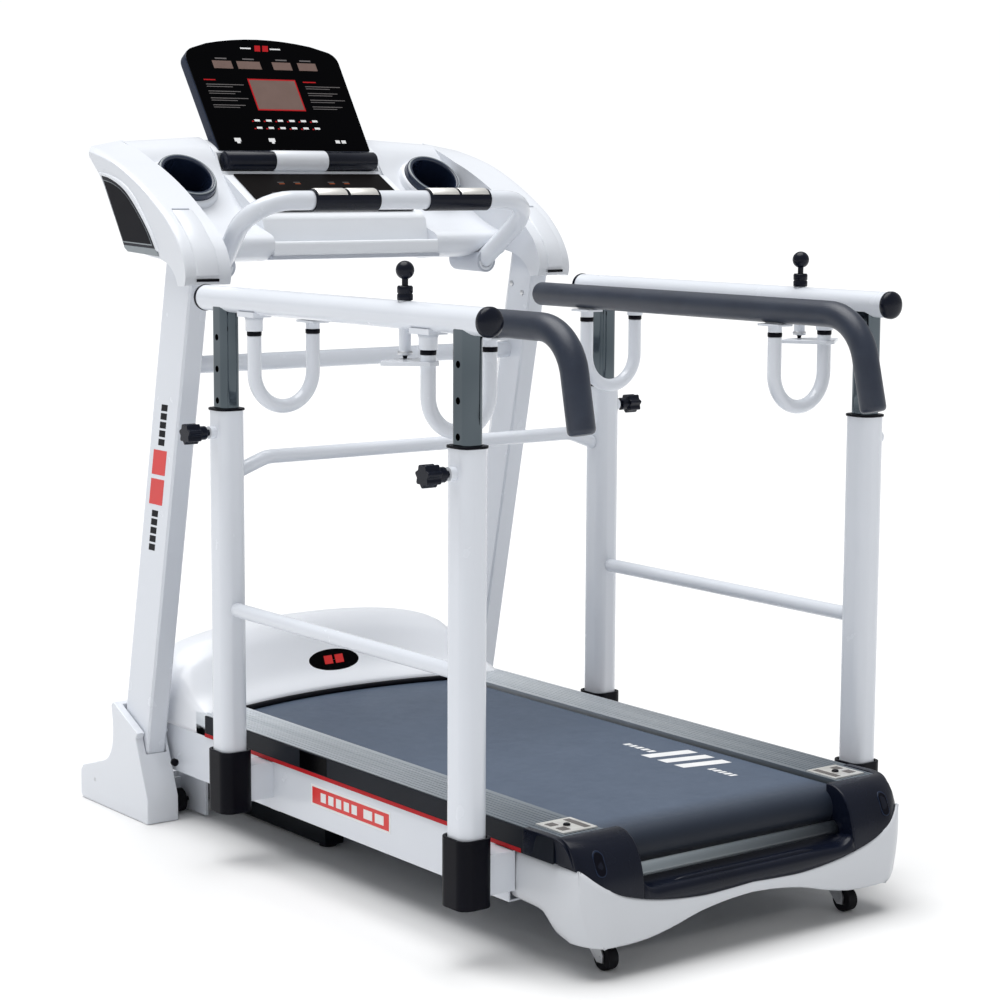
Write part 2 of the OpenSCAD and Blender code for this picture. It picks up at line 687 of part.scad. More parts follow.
module right_rail() in_frame() color(white) rail_tube();
module left_rail() mirror([1, 0, 0]) right_rail();
module right_rail_posts() in_frame() color("silver") rail_posts();
module left_rail_posts() mirror([1, 0, 0]) right_rail_posts();
module right_rear_arm() in_frame() color(white) rear_swing_arm();
module left_rear_arm() mirror([1, 0, 0]) right_rear_arm();
module right_front_arm() in_frame() color(white) swing_arm(arm_y[1]);
module left_front_arm() mirror([1, 0, 0]) right_front_arm();
module right_grip_bar() in_frame() color(white) grip_bar();
module left_grip_bar() mirror([1, 0, 0]) right_grip_bar();
module right_grip_foam() in_frame() color(black) grip_foam();
module left_grip_foam() mirror([1, 0, 0]) right_grip_foam();
module right_plunger() in_frame() color(black) plunger();
module left_plunger() mirror([1, 0, 0]) right_plunger();
module right_front_knob() in_frame() color(black) star_knob(post_y);
module left_front_knob() mirror([1, 0, 0]) right_front_knob();
module left_rear_knob() mirror([1, 0, 0]) in_frame() color(black) star_knob(-post_y);

// ---- console ----

wing_side = [[474, 1016], [472, 1028], [486, 1080], [526, 1124], [593, 1168], [663, 1203], [734, 1231],
    [800, 1247], [815, 1247], [814, 1238], [774, 1200], [692, 1072], [684, 1068], [560, 1060], [530, 1052],
    [508, 1032], [496, 1013]];
// Nearer the middle, an arm's rear reaches back to the shoulder's crest
wing_rear = [[814, 1250], [840, 1262], [850, 1254], [852, 1200], [826, 1130], [776, 1066]];
// A shoulder is a slanted dish round its cup
shoulder_side = [[592, 1052], [577, 1062], [569, 1080], [572, 1092], [640, 1119], [683, 1143], [761, 1213],
    [812, 1262], [830, 1270], [848, 1273], [866, 1258], [872, 1200], [850, 1120], [790, 1068], [700, 1050]];
centre_side = [[570, 1052], [566, 1080], [569, 1087], [575, 1087], [578, 1066], [610, 1066], [614, 1128],
    [624, 1137], [750, 1207], [782, 1250], [800, 1258], [850, 1268], [866, 1256], [872, 1200], [850, 1120],
    [790, 1068], [700, 1050]];
wing_in = 345;
wing_step = 400;
tray_half = 188;
handle_y = 430;
handle_foot = [295, 581, 1037];
console_wall = 4;
underside_region = [[540, 990], [540, 1058], [700, 1058], [800, 1092], [890, 1150], [890, 990]];

module console_solid(inset) {
    cut = inset > 0 ? console_wall : 0;
    both_sides() {
        side_slab(wing_side, wing_in + cut, console_half - cut, inset);
        side_slab(concat([for (i = [0 : 7]) wing_side[i]], wing_rear, [for (i = [12 : 16]) wing_side[i]]),
            wing_in + cut, wing_step - cut, inset);
        side_slab(shoulder_side, tray_half - 1, wing_in + cut + 1, inset);
    }
    side_slab(centre_side, -tray_half + cut, tray_half - cut, inset);
    if (inset == 0) both_sides() rod([handle_foot[0], 562, 1041], [handle_foot[0], 656, 1043], 22);
}

module handle_tube(r, bore = 0, over = 0) {
    bend = [322, handle_y, handle_z];
    end = handle_foot + unit(handle_foot - bend) * over;
    bent_tube([[-end[0], end[1], end[2]], [-bend[0], bend[1], bend[2]], bend, end], 75, r, bore);
}

module cup_place() both_sides() translate([cup_x, 724, 1199.3]) rotate([41.6, 0, 0]) children();

module console_cuts() {
    both_sides() leaning(950, 1070, -1);
    handle_tube(17.7, 0, 3);
    cup_place() translate([0, 0, -76]) cylinder(h = 100, r = cup_r + 3.2);
    cup_place() translate([0, 0, -16.4]) cylinder(h = 50, r = cup_r + 10.2);
    rod([-display_half - 1, 772, 1232], [display_half + 1, 772, 1232], 20.2);
    display_place() block([-display_half - 4, -1.5, -27], [display_half + 4, 60, 30]);
}

module console_body() difference() {
    console_solid(0);
    console_solid(console_wall);
    console_cuts();
}

module console_shell() in_frame() color(white) difference() {
    console_body();
    side_slab(underside_region, -wing_in, wing_in);
}

module console_underside() in_frame() color([0.85, 0.86, 0.88]) intersection() {
    console_body();
    side_slab(underside_region, -wing_in + 0.3, wing_in - 0.3, 0.15);
}

vent_side = [[767, 1203], [732, 1194], [679, 1173], [632, 1139], [589, 1100], [568, 1072], [686, 1078]];

module side_vents() in_frame() color(black) both_sides() difference() {
    side_slab(vent_side, console_half + 0.1, console_half + 4);
    for (k = [0 : 5]) translate([console_half + 2.5, 0, 0])
        side_slab([[640 + k * 17, 1088 + k * 8], [646 + k * 17, 1090 + k * 8], [646 + k * 17, 1128 + k * 9],
            [640 + k * 17, 1124 + k * 9]], 0, 3);
}

module cup_holders() in_frame() color(black) cup_place() difference() {
    union() {
        translate([0, 0, -70]) cylinder(h = 76, r = cup_r + 3);
        translate([0, 0, -16]) cylinder(h = 24, r = cup_r + 10);
    }
    translate([0, 0, -67]) cylinder(h = 90, r = cup_r);
}

module display_place() translate([0, 785, 1253]) rotate([display_tilt, 0, 0]) children();

// Outline of the display board: straight foot and sides, round corners, arched top
function display_outline(inset) = let (w = display_half + 1 - inset, r = 28 - inset / 2) concat(
    [[-w + 3, inset], [w - 3, inset]],
    [for (a = [0 : 12 : 72]) [w - r + r * cos(a), 210 + r * sin(a)]],
    [for (x = [120 : -30 : -120]) [x, 262 - inset - 20 * pow(x / 150, 2)]],
    [for (a = [108 : 12 : 180]) [-w + r + r * cos(a), 210 + r * sin(a)]]);

module display_housing() in_frame() color([0.2, 0.26, 0.36]) display_place() difference() {
    translate([0, 0, -26]) linear_extrude(23) polygon(display_outline(0));
    translate([0, 0, -23]) linear_extrude(21) polygon(display_outline(4));
}

module display_panel() in_frame() color(black) display_place()
    translate([0, 0, -2.95]) linear_extrude(2.95) polygon(display_outline(1));

module display_bar() in_frame() color(black) difference() {
    rod([-display_half, 772, 1232], [display_half, 772, 1232], 20);
    rod([-display_half - 1, 772, 1232], [display_half + 1, 772, 1232], 16);
}

panel_slope = unit([126, 70]);
panel_up = [-panel_slope[1], panel_slope[0]];
panel_foot = [626, 1138.2];
panel_len = 138;

module key_panel() in_frame() color([0.1, 0.09, 0.1])
    side_slab([panel_foot + panel_up * 0.1, panel_foot + panel_slope * panel_len + panel_up * 0.1,
        panel_foot + panel_slope * panel_len + panel_up * 3, panel_foot + panel_up * 3], -166, 166);

module safety_key() in_frame() color("red") {
    foot = panel_foot + panel_slope * 22 + panel_up * 3.1;
    translate([0, foot[0], foot[1]]) rotate([atan2(panel_slope[1], panel_slope[0]), 0, 0]) {
        cylinder(h = 7, r = 12);
        translate([0, 0, 6]) cylinder(h = 5, r1 = 12, r2 = 9);
    }
}

module handlebar() in_frame() color(white) handle_tube(17.5, 15);

module pulse_grips() in_frame() color(black) both_sides() difference() {
    rod([55, handle_y, handle_z], [195, handle_y, handle_z], 20.5);
    rod([54, handle_y, handle_z], [196, handle_y, handle_z], 17.6);
}

base_frame();
base_rails();
floor_pads();
upright_frame();
foot_covers();
console_shell();
console_underside();
side_vents();
cup_holders();
display_housing();
display_panel();
display_bar();
key_panel();
handlebar();
pulse_grips();
incline_motor();
safety_key();
transport_wheels();
lift_arm();
lift_screw();
deck_frame();
running_board();
board_cushions();
running_belt();
foot_rails();
side_trims();
rear_shell();
rear_bezel();
motor_hood();
drive_motor();
motor_controller();
drive_belt();
side_frames();
front_cross_bar();
post_boots();
post_collars();
front_roller();
rear_roller();
motor_pulley();
caster_fork(-caster_x);  // left_caster_fork
caster_fork(caster_x);  // right_caster_fork
caster_wheel(-caster_x);  // left_caster_wheel
caster_wheel(caster_x);  // right_caster_wheel
left_rail();
right_rail();
left_rail_posts();
right_rail_posts();
left_rear_arm();
left_front_arm();
right_rear_arm();
right_front_arm();
left_grip_bar();
right_grip_bar();
left_grip_foam();
right_grip_foam();
left_plunger();
right_plunger();
left_front_knob();
left_rear_knob();
right_front_knob();
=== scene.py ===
"""Looks of the rehabilitation treadmill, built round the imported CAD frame."""

import math

import bmesh
import bpy
from mathutils import Matrix, Vector


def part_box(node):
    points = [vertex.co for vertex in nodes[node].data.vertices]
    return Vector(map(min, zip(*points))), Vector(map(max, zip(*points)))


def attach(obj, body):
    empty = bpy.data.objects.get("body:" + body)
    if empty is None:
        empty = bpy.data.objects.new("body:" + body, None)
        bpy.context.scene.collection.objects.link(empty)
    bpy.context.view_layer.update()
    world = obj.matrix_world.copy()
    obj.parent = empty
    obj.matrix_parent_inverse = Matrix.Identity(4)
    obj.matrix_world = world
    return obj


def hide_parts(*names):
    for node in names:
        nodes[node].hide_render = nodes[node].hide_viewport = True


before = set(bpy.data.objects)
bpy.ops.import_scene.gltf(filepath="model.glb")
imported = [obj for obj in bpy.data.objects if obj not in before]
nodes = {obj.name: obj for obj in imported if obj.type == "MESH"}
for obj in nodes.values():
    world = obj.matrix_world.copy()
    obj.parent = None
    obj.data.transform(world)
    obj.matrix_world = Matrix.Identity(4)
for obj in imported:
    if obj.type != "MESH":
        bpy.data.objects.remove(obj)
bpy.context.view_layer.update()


# Sizes below are in millimetres from a point midway between the side posts, as in the CAD.
# The front roller's axle, 650 mm ahead of that point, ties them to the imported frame.
roller_low, roller_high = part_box("front_roller")
SHIFT_Y = (roller_low.y + roller_high.y) / 2 - 0.650
REAR_ROLLER = -0.462  # the rear roller's axle from the same point, in metres
SIDES = (("left", -1), ("right", 1))
ALONG_X, ALONG_Y, ALONG_Z = Vector((1, 0, 0)), Vector((0, 1, 0)), Vector((0, 0, 1))

UPRIGHT_IN = 362
UPRIGHT_OUT = 402
UPRIGHT_DEPTH = 103
CUP_PLACE = (281, 724, 1199.3)
HANDLE_Y = 430
HANDLE_Z = 1162
HANDLE_FOOT = (295, 581, 1037)
HANDLE_BEND_X = 322
RAIL_X = 420
RAIL_Z = 996
GRIP_X = 303
GRIP_Z = 984
GRIP_RADIUS = 22


def at(x, y, z):
    return Vector((x / 1000, y / 1000 + SHIFT_Y, z / 1000))


def share(value, low, high):
    """How far a value is from low to high, from 0 to 1."""
    return min(1.0, max(0.0, (value - low) / (high - low)))


def turn_steps(count):
    """Angles round a full turn."""
    return [math.tau * k / count for k in range(count)]


# ---------------------------------------------------------------- camera, lights, floor

camera_data = bpy.data.cameras.new("camera")
camera = bpy.data.objects.new("camera", camera_data)
bpy.context.scene.collection.objects.link(camera)
camera_data.lens = 88.45
camera_data.sensor_width = 36
camera_data.clip_end = 60
camera.matrix_world = (
    Matrix.Translation(at(-2588.5, -3307.1, 1222.9))
    @ Matrix.Rotation(math.radians(-37.04), 4, "Z")
    @ Matrix.Rotation(math.radians(82.28), 4, "X")
    @ Matrix.Rotation(math.radians(0.27), 4, "Z")
)
bpy.context.scene.camera = camera


# ---------------------------------------------------------------- materials


class Nodes:
    """Short calls for building a Principled material's node tree."""

    def __init__(self, name):
        self.material = bpy.data.materials.new(name)
        self.material.use_nodes = True
        self.tree = self.material.node_tree
        self.shader = self.tree.nodes["Principled BSDF"]
        self.coords = self.add("TexCoord").outputs["Object"]

    def add(self, kind, **values):
        """A new node; an underscore in an input's name stands for a space."""
        node = self.tree.nodes.new("ShaderNode" + kind)
        for key, value in values.items():
            node.inputs[key.replace("_", " ")].default_value = value
        return node

    def set(self, **values):
        for key, value in values.items():
            self.shader.inputs[key.replace("_", " ")].default_value = value
        return self

    def wire(self, output, socket):
        self.tree.links.new(output, socket)

    def link(self, output, name):
        self.wire(output, self.shader.inputs[name])
        return self

    def noise(self, scale, detail=3.0, rough=0.5, stretch=None):
        source = self.coords
        if stretch:
            mapping = self.add("Mapping", Scale=stretch)
            self.wire(self.coords, mapping.inputs["Vector"])
            source = mapping.outputs["Vector"]
        node = self.add("TexNoise", Scale=scale, Detail=detail, Roughness=rough)
        self.wire(source, node.inputs["Vector"])
        return node.outputs["Fac"]

    def wave(self, scale, direction):
        node = self.add("TexWave", Scale=scale)
        node.bands_direction = direction
        self.wire(self.coords, node.inputs["Vector"])
        return node.outputs["Fac"]

    def combine(self, operation, a, b):
        node = self.add("Math")
        node.operation = operation
        self.wire(a, node.inputs[0])
        self.wire(b, node.inputs[1])
        return node.outputs[0]

    def ramp(self, fac, stops):
        node = self.add("ValToRGB")
        for element, (position, color) in zip(node.color_ramp.elements, stops):
            element.position = position
            element.color = (*color, 1)
        self.wire(fac, node.inputs["Fac"])
        return node.outputs["Color"]

    def range(self, fac, low, high):
        node = self.add("MapRange", To_Min=low, To_Max=high)
        self.wire(fac, node.inputs["Value"])
        return node.outputs["Result"]

    def along(self, axis, low, high, color_low, color_high):
        """A colour that changes between two places along an axis, in the object's own metres."""
        split = self.add("SeparateXYZ")
        self.wire(self.coords, split.inputs["Vector"])
        part = self.add("MapRange", From_Min=low, From_Max=high)
        self.wire(split.outputs[axis], part.inputs["Value"])
        return self.ramp(part.outputs["Result"], [(0, color_low), (1, color_high)])

    def multiply(self, a, b):
        node = self.add("Mix")
        node.data_type = "RGBA"
        node.blend_type = "MULTIPLY"
        node.inputs["Factor"].default_value = 1
        self.wire(a, node.inputs[6])
        self.wire(b, node.inputs[7])
        return node.outputs[2]

    def bump(self, height, strength, distance=0.0005):
        node = self.add("Bump", Strength=strength, Distance=distance)
        self.wire(height, node.inputs["Height"])
        return self.link(node.outputs["Normal"], "Normal")


def two_tone(color, spread):
    """The colour a little darker and a little lighter."""
    return [tuple(c * (1 - spread) for c in color), tuple(min(1, c * (1 + spread)) for c in color)]


def finish(name, color, rough, spread=0.04, cloud=9.0, grain=1400.0, bump=0.06, uneven=0.05, **shader):
    """A moulded or painted surface: slow colour clouds, uneven gloss and a fine grain."""
    n = Nodes(name).set(**shader)
    dark, light = two_tone(color, spread)
    n.link(n.ramp(n.noise(cloud, 4), [(0.3, dark), (0.7, light)]), "Base Color")
    n.link(n.range(n.noise(cloud * 3, 5), rough - uneven, rough + uneven), "Roughness")
    n.bump(n.noise(grain, 2), bump, 0.0003)
    return n.material


def belt_material():
    n = Nodes("belt_weave").set(Specular_IOR_Level=0.25)
    color = n.ramp(n.noise(14, 6, 0.6), [(0.25, (0.064, 0.088, 0.132)), (0.75, (0.078, 0.105, 0.152))])
    # Painted shade: the belt is darker where it turns down round the rear roller.
    rear = SHIFT_Y + REAR_ROLLER
    shade = n.along("Y", rear - 0.035, rear + 0.05, (0.10, 0.11, 0.14), (1, 1, 1))
    n.link(n.multiply(color, shade), "Base Color")
    n.link(n.range(n.noise(60, 4), 0.42, 0.56), "Roughness")
    weave = n.combine("MAXIMUM", n.wave(420, "X"), n.wave(420, "Y"))
    n.bump(n.combine("ADD", weave, n.noise(900, 2)), 0.18, 0.0004)
    return n.material


def brushed_material(name, color, rough, stretch):
    n = Nodes(name).set(Metallic=1.0)
    dark, light = two_tone(color, 0.12)
    n.link(n.ramp(n.noise(60, 5, 0.6, stretch), [(0.3, dark), (0.7, light)]), "Base Color")
    n.link(n.range(n.noise(90, 5, 0.6, stretch), rough - 0.08, rough + 0.1), "Roughness")
    n.bump(n.noise(140, 4, 0.6, stretch), 0.12, 0.0003)
    return n.material


def rail_material():
    """Grooved aluminium with painted light: darker at the rear, brighter towards the hood."""
    n = Nodes("grooved_aluminium").set(Metallic=0.7)
    stretch = (1, 0.02, 1)
    streaks = n.ramp(n.noise(60, 5, 0.6, stretch), [(0.3, (0.78, 0.80, 0.82)), (0.7, (1, 1, 1))])
    # Painted light along the rails' length: dark at the rear end, bright towards the hood.
    length = n.along("Y", SHIFT_Y - 0.42, SHIFT_Y + 0.55, (0.20, 0.23, 0.26), (0.80, 0.83, 0.86))
    n.link(n.multiply(streaks, length), "Base Color")
    n.link(n.range(n.noise(90, 5, 0.6, stretch), 0.34, 0.5), "Roughness")
    n.bump(n.noise(140, 4, 0.6, stretch), 0.08, 0.0003)
    return n.material


def painted_reflection_material():
    """The strip below the belt, with a painted reflection: light at its left end, fading to dark at its
    right.
    """
    n = Nodes("painted_reflection_strip").set(Metallic=0.4, Specular_IOR_Level=0.3)
    streaks = n.ramp(n.noise(60, 4, 0.6, (0.05, 1, 1)), [(0.3, (0.85, 0.88, 0.90)), (0.7, (1, 1, 1))])
    # Painted reflection: light at the left end, fading to dark at the right.
    fade = n.along("X", -0.217, 0.19, (0.27, 0.30, 0.32), (0.02, 0.024, 0.03))
    n.link(n.multiply(streaks, fade), "Base Color")
    n.link(n.range(n.noise(90, 4), 0.26, 0.36), "Roughness")
    return n.material


def chrome_material():
    n = Nodes("chrome").set(Metallic=1.0)
    n.link(n.ramp(n.noise(5, 2), [(0.3, (0.055, 0.07, 0.08)), (0.7, (0.115, 0.135, 0.15))]), "Base Color")
    n.link(n.range(n.noise(40, 5, 0.7, (1, 1, 0.05)), 0.04, 0.14), "Roughness")
    n.bump(n.noise(300, 3, 0.6, (1, 1, 0.02)), 0.03, 0.0002)
    return n.material


def foam_material():
    n = Nodes("foam_skin").set(Sheen_Weight=0.04, Sheen_Roughness=0.5, Specular_IOR_Level=0.5)
    n.link(n.ramp(n.noise(30, 5), [(0.3, (0.011, 0.017, 0.034)), (0.7, (0.018, 0.026, 0.046))]), "Base Color")
    n.link(n.range(n.noise(120, 4), 0.34, 0.46), "Roughness")
    n.bump(n.combine("ADD", n.noise(1100, 3), n.noise(260, 3)), 0.3, 0.0006)
    return n.material


WHITE = (0.70, 0.73, 0.785)
NAVY = (0.0040, 0.0058, 0.0135)
MATT = 0.09  # specular level of dull dark surfaces


def dull(name, color, *numbers):
    return finish(name, color, *numbers, Specular_IOR_Level=MATT)


def white_moulding(name, color, rough=0.32, coat=0.15):
    return finish(name, color, rough, 0.012, 5, 1600, 0.05, 0.04, Coat_Weight=coat)


paint = finish("white_paint", WHITE, 0.26, 0.012, 6, 900, 0.05, 0.04, Coat_Weight=0.3, Coat_Roughness=0.08)
moulded = white_moulding("white_moulding", (0.72, 0.745, 0.79))
# A lighter copy of the white moulding for the hood: painted light, the same plastic lit more brightly.
hood_white_painted_lit = white_moulding("hood_moulding_painted_lit", (0.86, 0.88, 0.92))
# A lighter copy of the white moulding for the console's centre: painted light, the same plastic lit more
# brightly.
tray_white_painted_lit = white_moulding("tray_moulding_painted_lit", (0.80, 0.825, 0.865))
# A darker copy of the white moulding for the rear cover: painted shade, the same plastic shaded more.
rear_white_painted_shade = white_moulding("rear_moulding_painted_shade", (0.60, 0.62, 0.655), 0.36, 0.1)
grey_moulding = finish("grey_moulding", (0.44, 0.47, 0.53), 0.45, 0.03, 7, 2200, 0.12)
navy = finish("navy_plastic", NAVY, 0.26, 0.15, 8, 1900, 0.10, 0.06, Specular_IOR_Level=0.2)
black = dull("black_plastic", (0.0018, 0.0020, 0.0050), 0.40, 0.2, 10, 2400, 0.16)
charcoal = dull("charcoal_band", (0.009, 0.011, 0.016), 0.38, 0.12, 12, 2600, 0.2)
black_paint = dull("black_paint", (0.004, 0.006, 0.009), 0.30, 0.1, 8, 1200, 0.08)
rubber = dull("rubber", (0.008, 0.008, 0.010), 0.62, 0.2, 30, 1500, 0.25)
foam = foam_material()
chrome = chrome_material()
zinc = brushed_material("zinc_plate", (0.62, 0.63, 0.65), 0.32, (1, 1, 0.2))
steel = brushed_material("turned_steel", (0.50, 0.51, 0.53), 0.28, (0.05, 1, 1))
rail_metal = rail_material()
plate_metal = brushed_material("label_metal", (0.90, 0.88, 0.84), 0.40, (0.1, 1, 1))
belt = belt_material()
edge_blue = finish("edge_blue", (0.010, 0.018, 0.042), 0.3, 0.1, 10, 1800, 0.08, Specular_IOR_Level=0.25)
panel_black = finish("panel_black", (0.0006, 0.0006, 0.0010), 0.18, 0.2, 6, 2000, 0.02, 0.03,
                     Specular_IOR_Level=0.03)
key_brown = finish("key_brown", (0.0022, 0.0014, 0.0014), 0.34, 0.15, 12, 1800, 0.1, Specular_IOR_Level=0.03)
window = dull("window_brown", (0.17, 0.115, 0.10), 0.25, 0.05, 40, 2200, 0.05)
red = dull("red_print", (0.42, 0.010, 0.014), 0.36, 0.05, 20, 1800, 0.06)
label_red = finish("label_red", (0.66, 0.012, 0.010), 0.30, 0.04, 18, 1800, 0.05)
print_white = finish("print_white", (0.78, 0.78, 0.78), 0.4, 0.03, 30, 1800, 0.05)
print_grey = dull("print_grey", (0.13, 0.12, 0.12), 0.4, 0.05, 30, 1800, 0.05)
print_amber = dull("print_amber", (0.30, 0.07, 0.02), 0.4, 0.05, 30, 1800, 0.05)
rim_grey = finish("rim_grey", (0.018, 0.027, 0.052), 0.18, 0.1, 10, 1800, 0.05)
painted_reflection = painted_reflection_material()
strip_grey = finish("strip_grey", (0.24, 0.27, 0.29), 0.24, 0.06, 10, 1800, 0.05)
end_print = finish("end_print", (0.10, 0.09, 0.085), 0.4, 0.1, 30, 1800, 0.05)
board_black = dull("phenolic_board", (0.004, 0.004, 0.006), 0.42, 0.2, 20, 700, 0.1)
# A lighter copy of the navy plastic for the cups: painted light on their shaded inner walls.
cup_navy_painted_lit = finish("cup_navy_painted_lit", (0.010, 0.016, 0.036), 0.2, 0.1, 10, 1800, 0.05, Specular_IOR_Level=0.4)
circuit = finish("circuit_board", (0.02, 0.10, 0.05), 0.4, 0.1, 60, 1200, 0.2)

CAD_FINISH = {
    paint: "base_frame upright_frame deck_frame side_frames front_cross_bar handlebar left_rail right_rail "
    "left_rear_arm left_front_arm right_rear_arm right_front_arm left_grip_bar right_grip_bar",
    black_paint: "base_rails incline_motor drive_motor lift_arm",
    black: "post_boots post_collars",
    charcoal: "side_trims",
    rubber: "board_cushions floor_pads transport_wheels left_caster_wheel right_caster_wheel drive_belt",
    chrome: "left_rail_posts right_rail_posts",
    zinc: "left_caster_fork right_caster_fork",
    steel: "front_roller rear_roller motor_pulley lift_screw",
    edge_blue: "display_housing",
    panel_black: "display_panel",
    key_brown: "key_panel",
    belt: "running_belt",
    rail_metal: "foot_rails",
    board_black: "running_board",
    circuit: "motor_controller",
    label_red: "safety_key",
    foam: "left_grip_foam right_grip_foam",
    cup_navy_painted_lit: "cup_holders",
    moulded: "foot_covers console_shell motor_hood rear_shell",
    grey_moulding: "console_underside",
    navy: "pulse_grips left_plunger right_plunger left_front_knob left_rear_knob right_front_knob "
    "display_bar side_vents rear_bezel",
}
# Width of the rounded edges, in millimetres, for nodes whose edges aren't 1.2 mm
EDGE_WIDTH = {
    "upright_frame": 3.0, "base_frame": 1.5, "deck_frame": 2.5, "side_frames": 0.8, "post_boots": 2.0,
    "cup_holders": 1.6, "display_housing": 2.5, "display_panel": 0.5, "key_panel": 0.5, "foot_rails": 0.35,
    "running_belt": 0.5, "drive_belt": 0.4, "handlebar": 1.0, "front_cross_bar": 1.0, "post_collars": 0.8,
}


def round_edges(obj, width, segments=3, angle=35):
    bevel = obj.modifiers.new("round", "BEVEL")
    bevel.width = width / 1000
    bevel.segments = segments
    bevel.limit_method = "ANGLE"
    bevel.angle_limit = math.radians(angle)
    bevel.use_clamp_overlap = True
    bevel.miter_outer = "MITER_ARC"
    normals = obj.modifiers.new("normals", "WEIGHTED_NORMAL")
    normals.keep_sharp = False
    normals.weight = 80
    return obj


def smooth_faces(obj):
    obj.data.polygons.foreach_set("use_smooth", [True] * len(obj.data.polygons))
    obj.data.update()


def dress_cad(name, material):
    """A CAD node keeps its mesh; it gets a material, welded faces and small rounded edges."""
    obj = nodes[name]
    obj.data.materials.clear()
    obj.data.materials.append(material)
    smooth_faces(obj)
    weld = obj.modifiers.new("weld", "WELD")
    weld.merge_threshold = 0.00001
    flat = obj.modifiers.new("flat", "DECIMATE")
    flat.decimate_type = "DISSOLVE"
    flat.angle_limit = math.radians(0.5)
    round_edges(obj, EDGE_WIDTH.get(name, 1.2), 2, 34)


for material, names in CAD_FINISH.items():
    for name in names.split():
        dress_cad(name, material)


# ---------------------------------------------------------------- mesh helpers


def quads(count, across, closed):
    """Faces between rows of points: count rows of across points, joined end to end if closed."""
    faces = []
    for i in range(count - 1):
        for j in range(across if closed else across - 1):
            k = (j + 1) % across
            faces.append([i * across + j, i * across + k, (i + 1) * across + k, (i + 1) * across + j])
    return faces


def mesh_piece(name, vertices, faces, material, body, smooth=True):
    mesh = bpy.data.meshes.new(name)
    mesh.from_pydata([tuple(v) for v in vertices], [], faces)
    mesh.validate()
    work = bmesh.new()
    work.from_mesh(mesh)
    bmesh.ops.remove_doubles(work, verts=work.verts, dist=0.000002)
    bmesh.ops.recalc_face_normals(work, faces=work.faces)
    work.to_mesh(mesh)
    work.free()
    mesh.materials.append(material)
    obj = bpy.data.objects.new(name, mesh)
    bpy.context.scene.collection.objects.link(obj)
    if smooth:
        smooth_faces(obj)
    if body:
        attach(obj, body)
    return obj


def smoothed(points, sharp=(), steps=5):
    """A closed line through the points: curved at each point whose number isn't in sharp."""
    count = len(points)
    vectors = [Vector(p) for p in points]

    def tangent(i):
        if i in sharp:
            return None
        before, after = vectors[i] - vectors[i - 1], vectors[(i + 1) % count] - vectors[i]
        if before.length < 1e-6 or after.length < 1e-6:
            return None
        return (before.normalized() + after.normalized()).normalized()

    line = []
    for i in range(count):
        a, b = vectors[i], vectors[(i + 1) % count]
        span = (b - a).length
        ta, tb = tangent(i), tangent((i + 1) % count)
        ta = ta * span if ta else (b - a)
        tb = tb * span if tb else (b - a)
        straight = i in sharp and (i + 1) % count in sharp
        for k in range(1 if straight else steps):
            t = k / steps
            h = (2 * t**3 - 3 * t**2 + 1, t**3 - 2 * t**2 + t, -2 * t**3 + 3 * t**2, t**3 - t**2)
            line.append(a * h[0] + ta * h[1] + b * h[2] + tb * h[3])
    return line


def prism(name, outline, place, stations, material, body, edge=0, segments=3):
    """An outline pushed through the stations; place(u, v, w) gives a point in metres."""
    count = len(outline)
    levels = sorted(stations)
    vertices = [place(p[0], p[1], w) for w in levels for p in outline]
    last = (len(levels) - 1) * count
    faces = [list(range(count))[::-1], list(range(last, last + count))] + quads(len(levels), count, True)
    obj = mesh_piece(name, vertices, faces, material, body)
    if edge:
        round_edges(obj, edge, segments, 40)
    return obj


def side_place(u, v, w):
    """Outline in (y, z), pushed along x."""
    return at(w, u, v)


def grid_piece(name, rows, material, body, closed_across=False, thickness=0.0):
    """A sheet from rows of points; thickness in millimetres makes it solid."""
    faces = quads(len(rows), len(rows[0]), closed_across)
    obj = mesh_piece(name, [p for row in rows for p in row], faces, material, body)
    if thickness:
        solid = obj.modifiers.new("solid", "SOLIDIFY")
        solid.thickness = thickness / 1000
        solid.offset = -1
        solid.use_even_offset = True
    return obj


def apply_modifiers(obj):
    """Replaces the mesh by the result of its modifiers."""
    bpy.context.view_layer.update()
    graph = bpy.context.evaluated_depsgraph_get()
    mesh = bpy.data.meshes.new_from_object(obj.evaluated_get(graph))
    obj.modifiers.clear()
    obj.data = mesh
    return obj


def cut(obj, *cutters):
    for cutter in cutters:
        modifier = obj.modifiers.new("cut", "BOOLEAN")
        modifier.operation = "DIFFERENCE"
        modifier.solver = "EXACT"
        modifier.object = cutter
    apply_modifiers(obj)
    for cutter in cutters:
        bpy.data.objects.remove(cutter)
    return obj


def frame_along(direction):
    """Two unit vectors square to a direction."""
    d = direction.normalized()
    helper = ALONG_Z if abs(d.z) < 0.9 else ALONG_X
    a = d.cross(helper).normalized()
    return a, d.cross(a)


def closed_tube(name, rows, material, body):
    """A solid from rings of points, with a flat face at each end."""
    sides = len(rows[0])
    faces = [list(range(sides)), list(range((len(rows) - 1) * sides, len(rows) * sides))]
    faces += quads(len(rows), sides, True)
    return mesh_piece(name, [p for row in rows for p in row], faces, material, body)


def turned(name, start, axis, profile, material, body, sides=40):
    """A turned part: profile is (distance along the axis, radius) in mm, closed at both ends."""
    a, b = frame_along(axis)
    axis = axis.normalized()
    rows = []
    for along, radius in profile:
        centre = start + axis * (along / 1000)
        rows.append([centre + (a * math.cos(t) + b * math.sin(t)) * (max(radius, 0.01) / 1000)
                     for t in turn_steps(sides)])
    return closed_tube(name, rows, material, body)


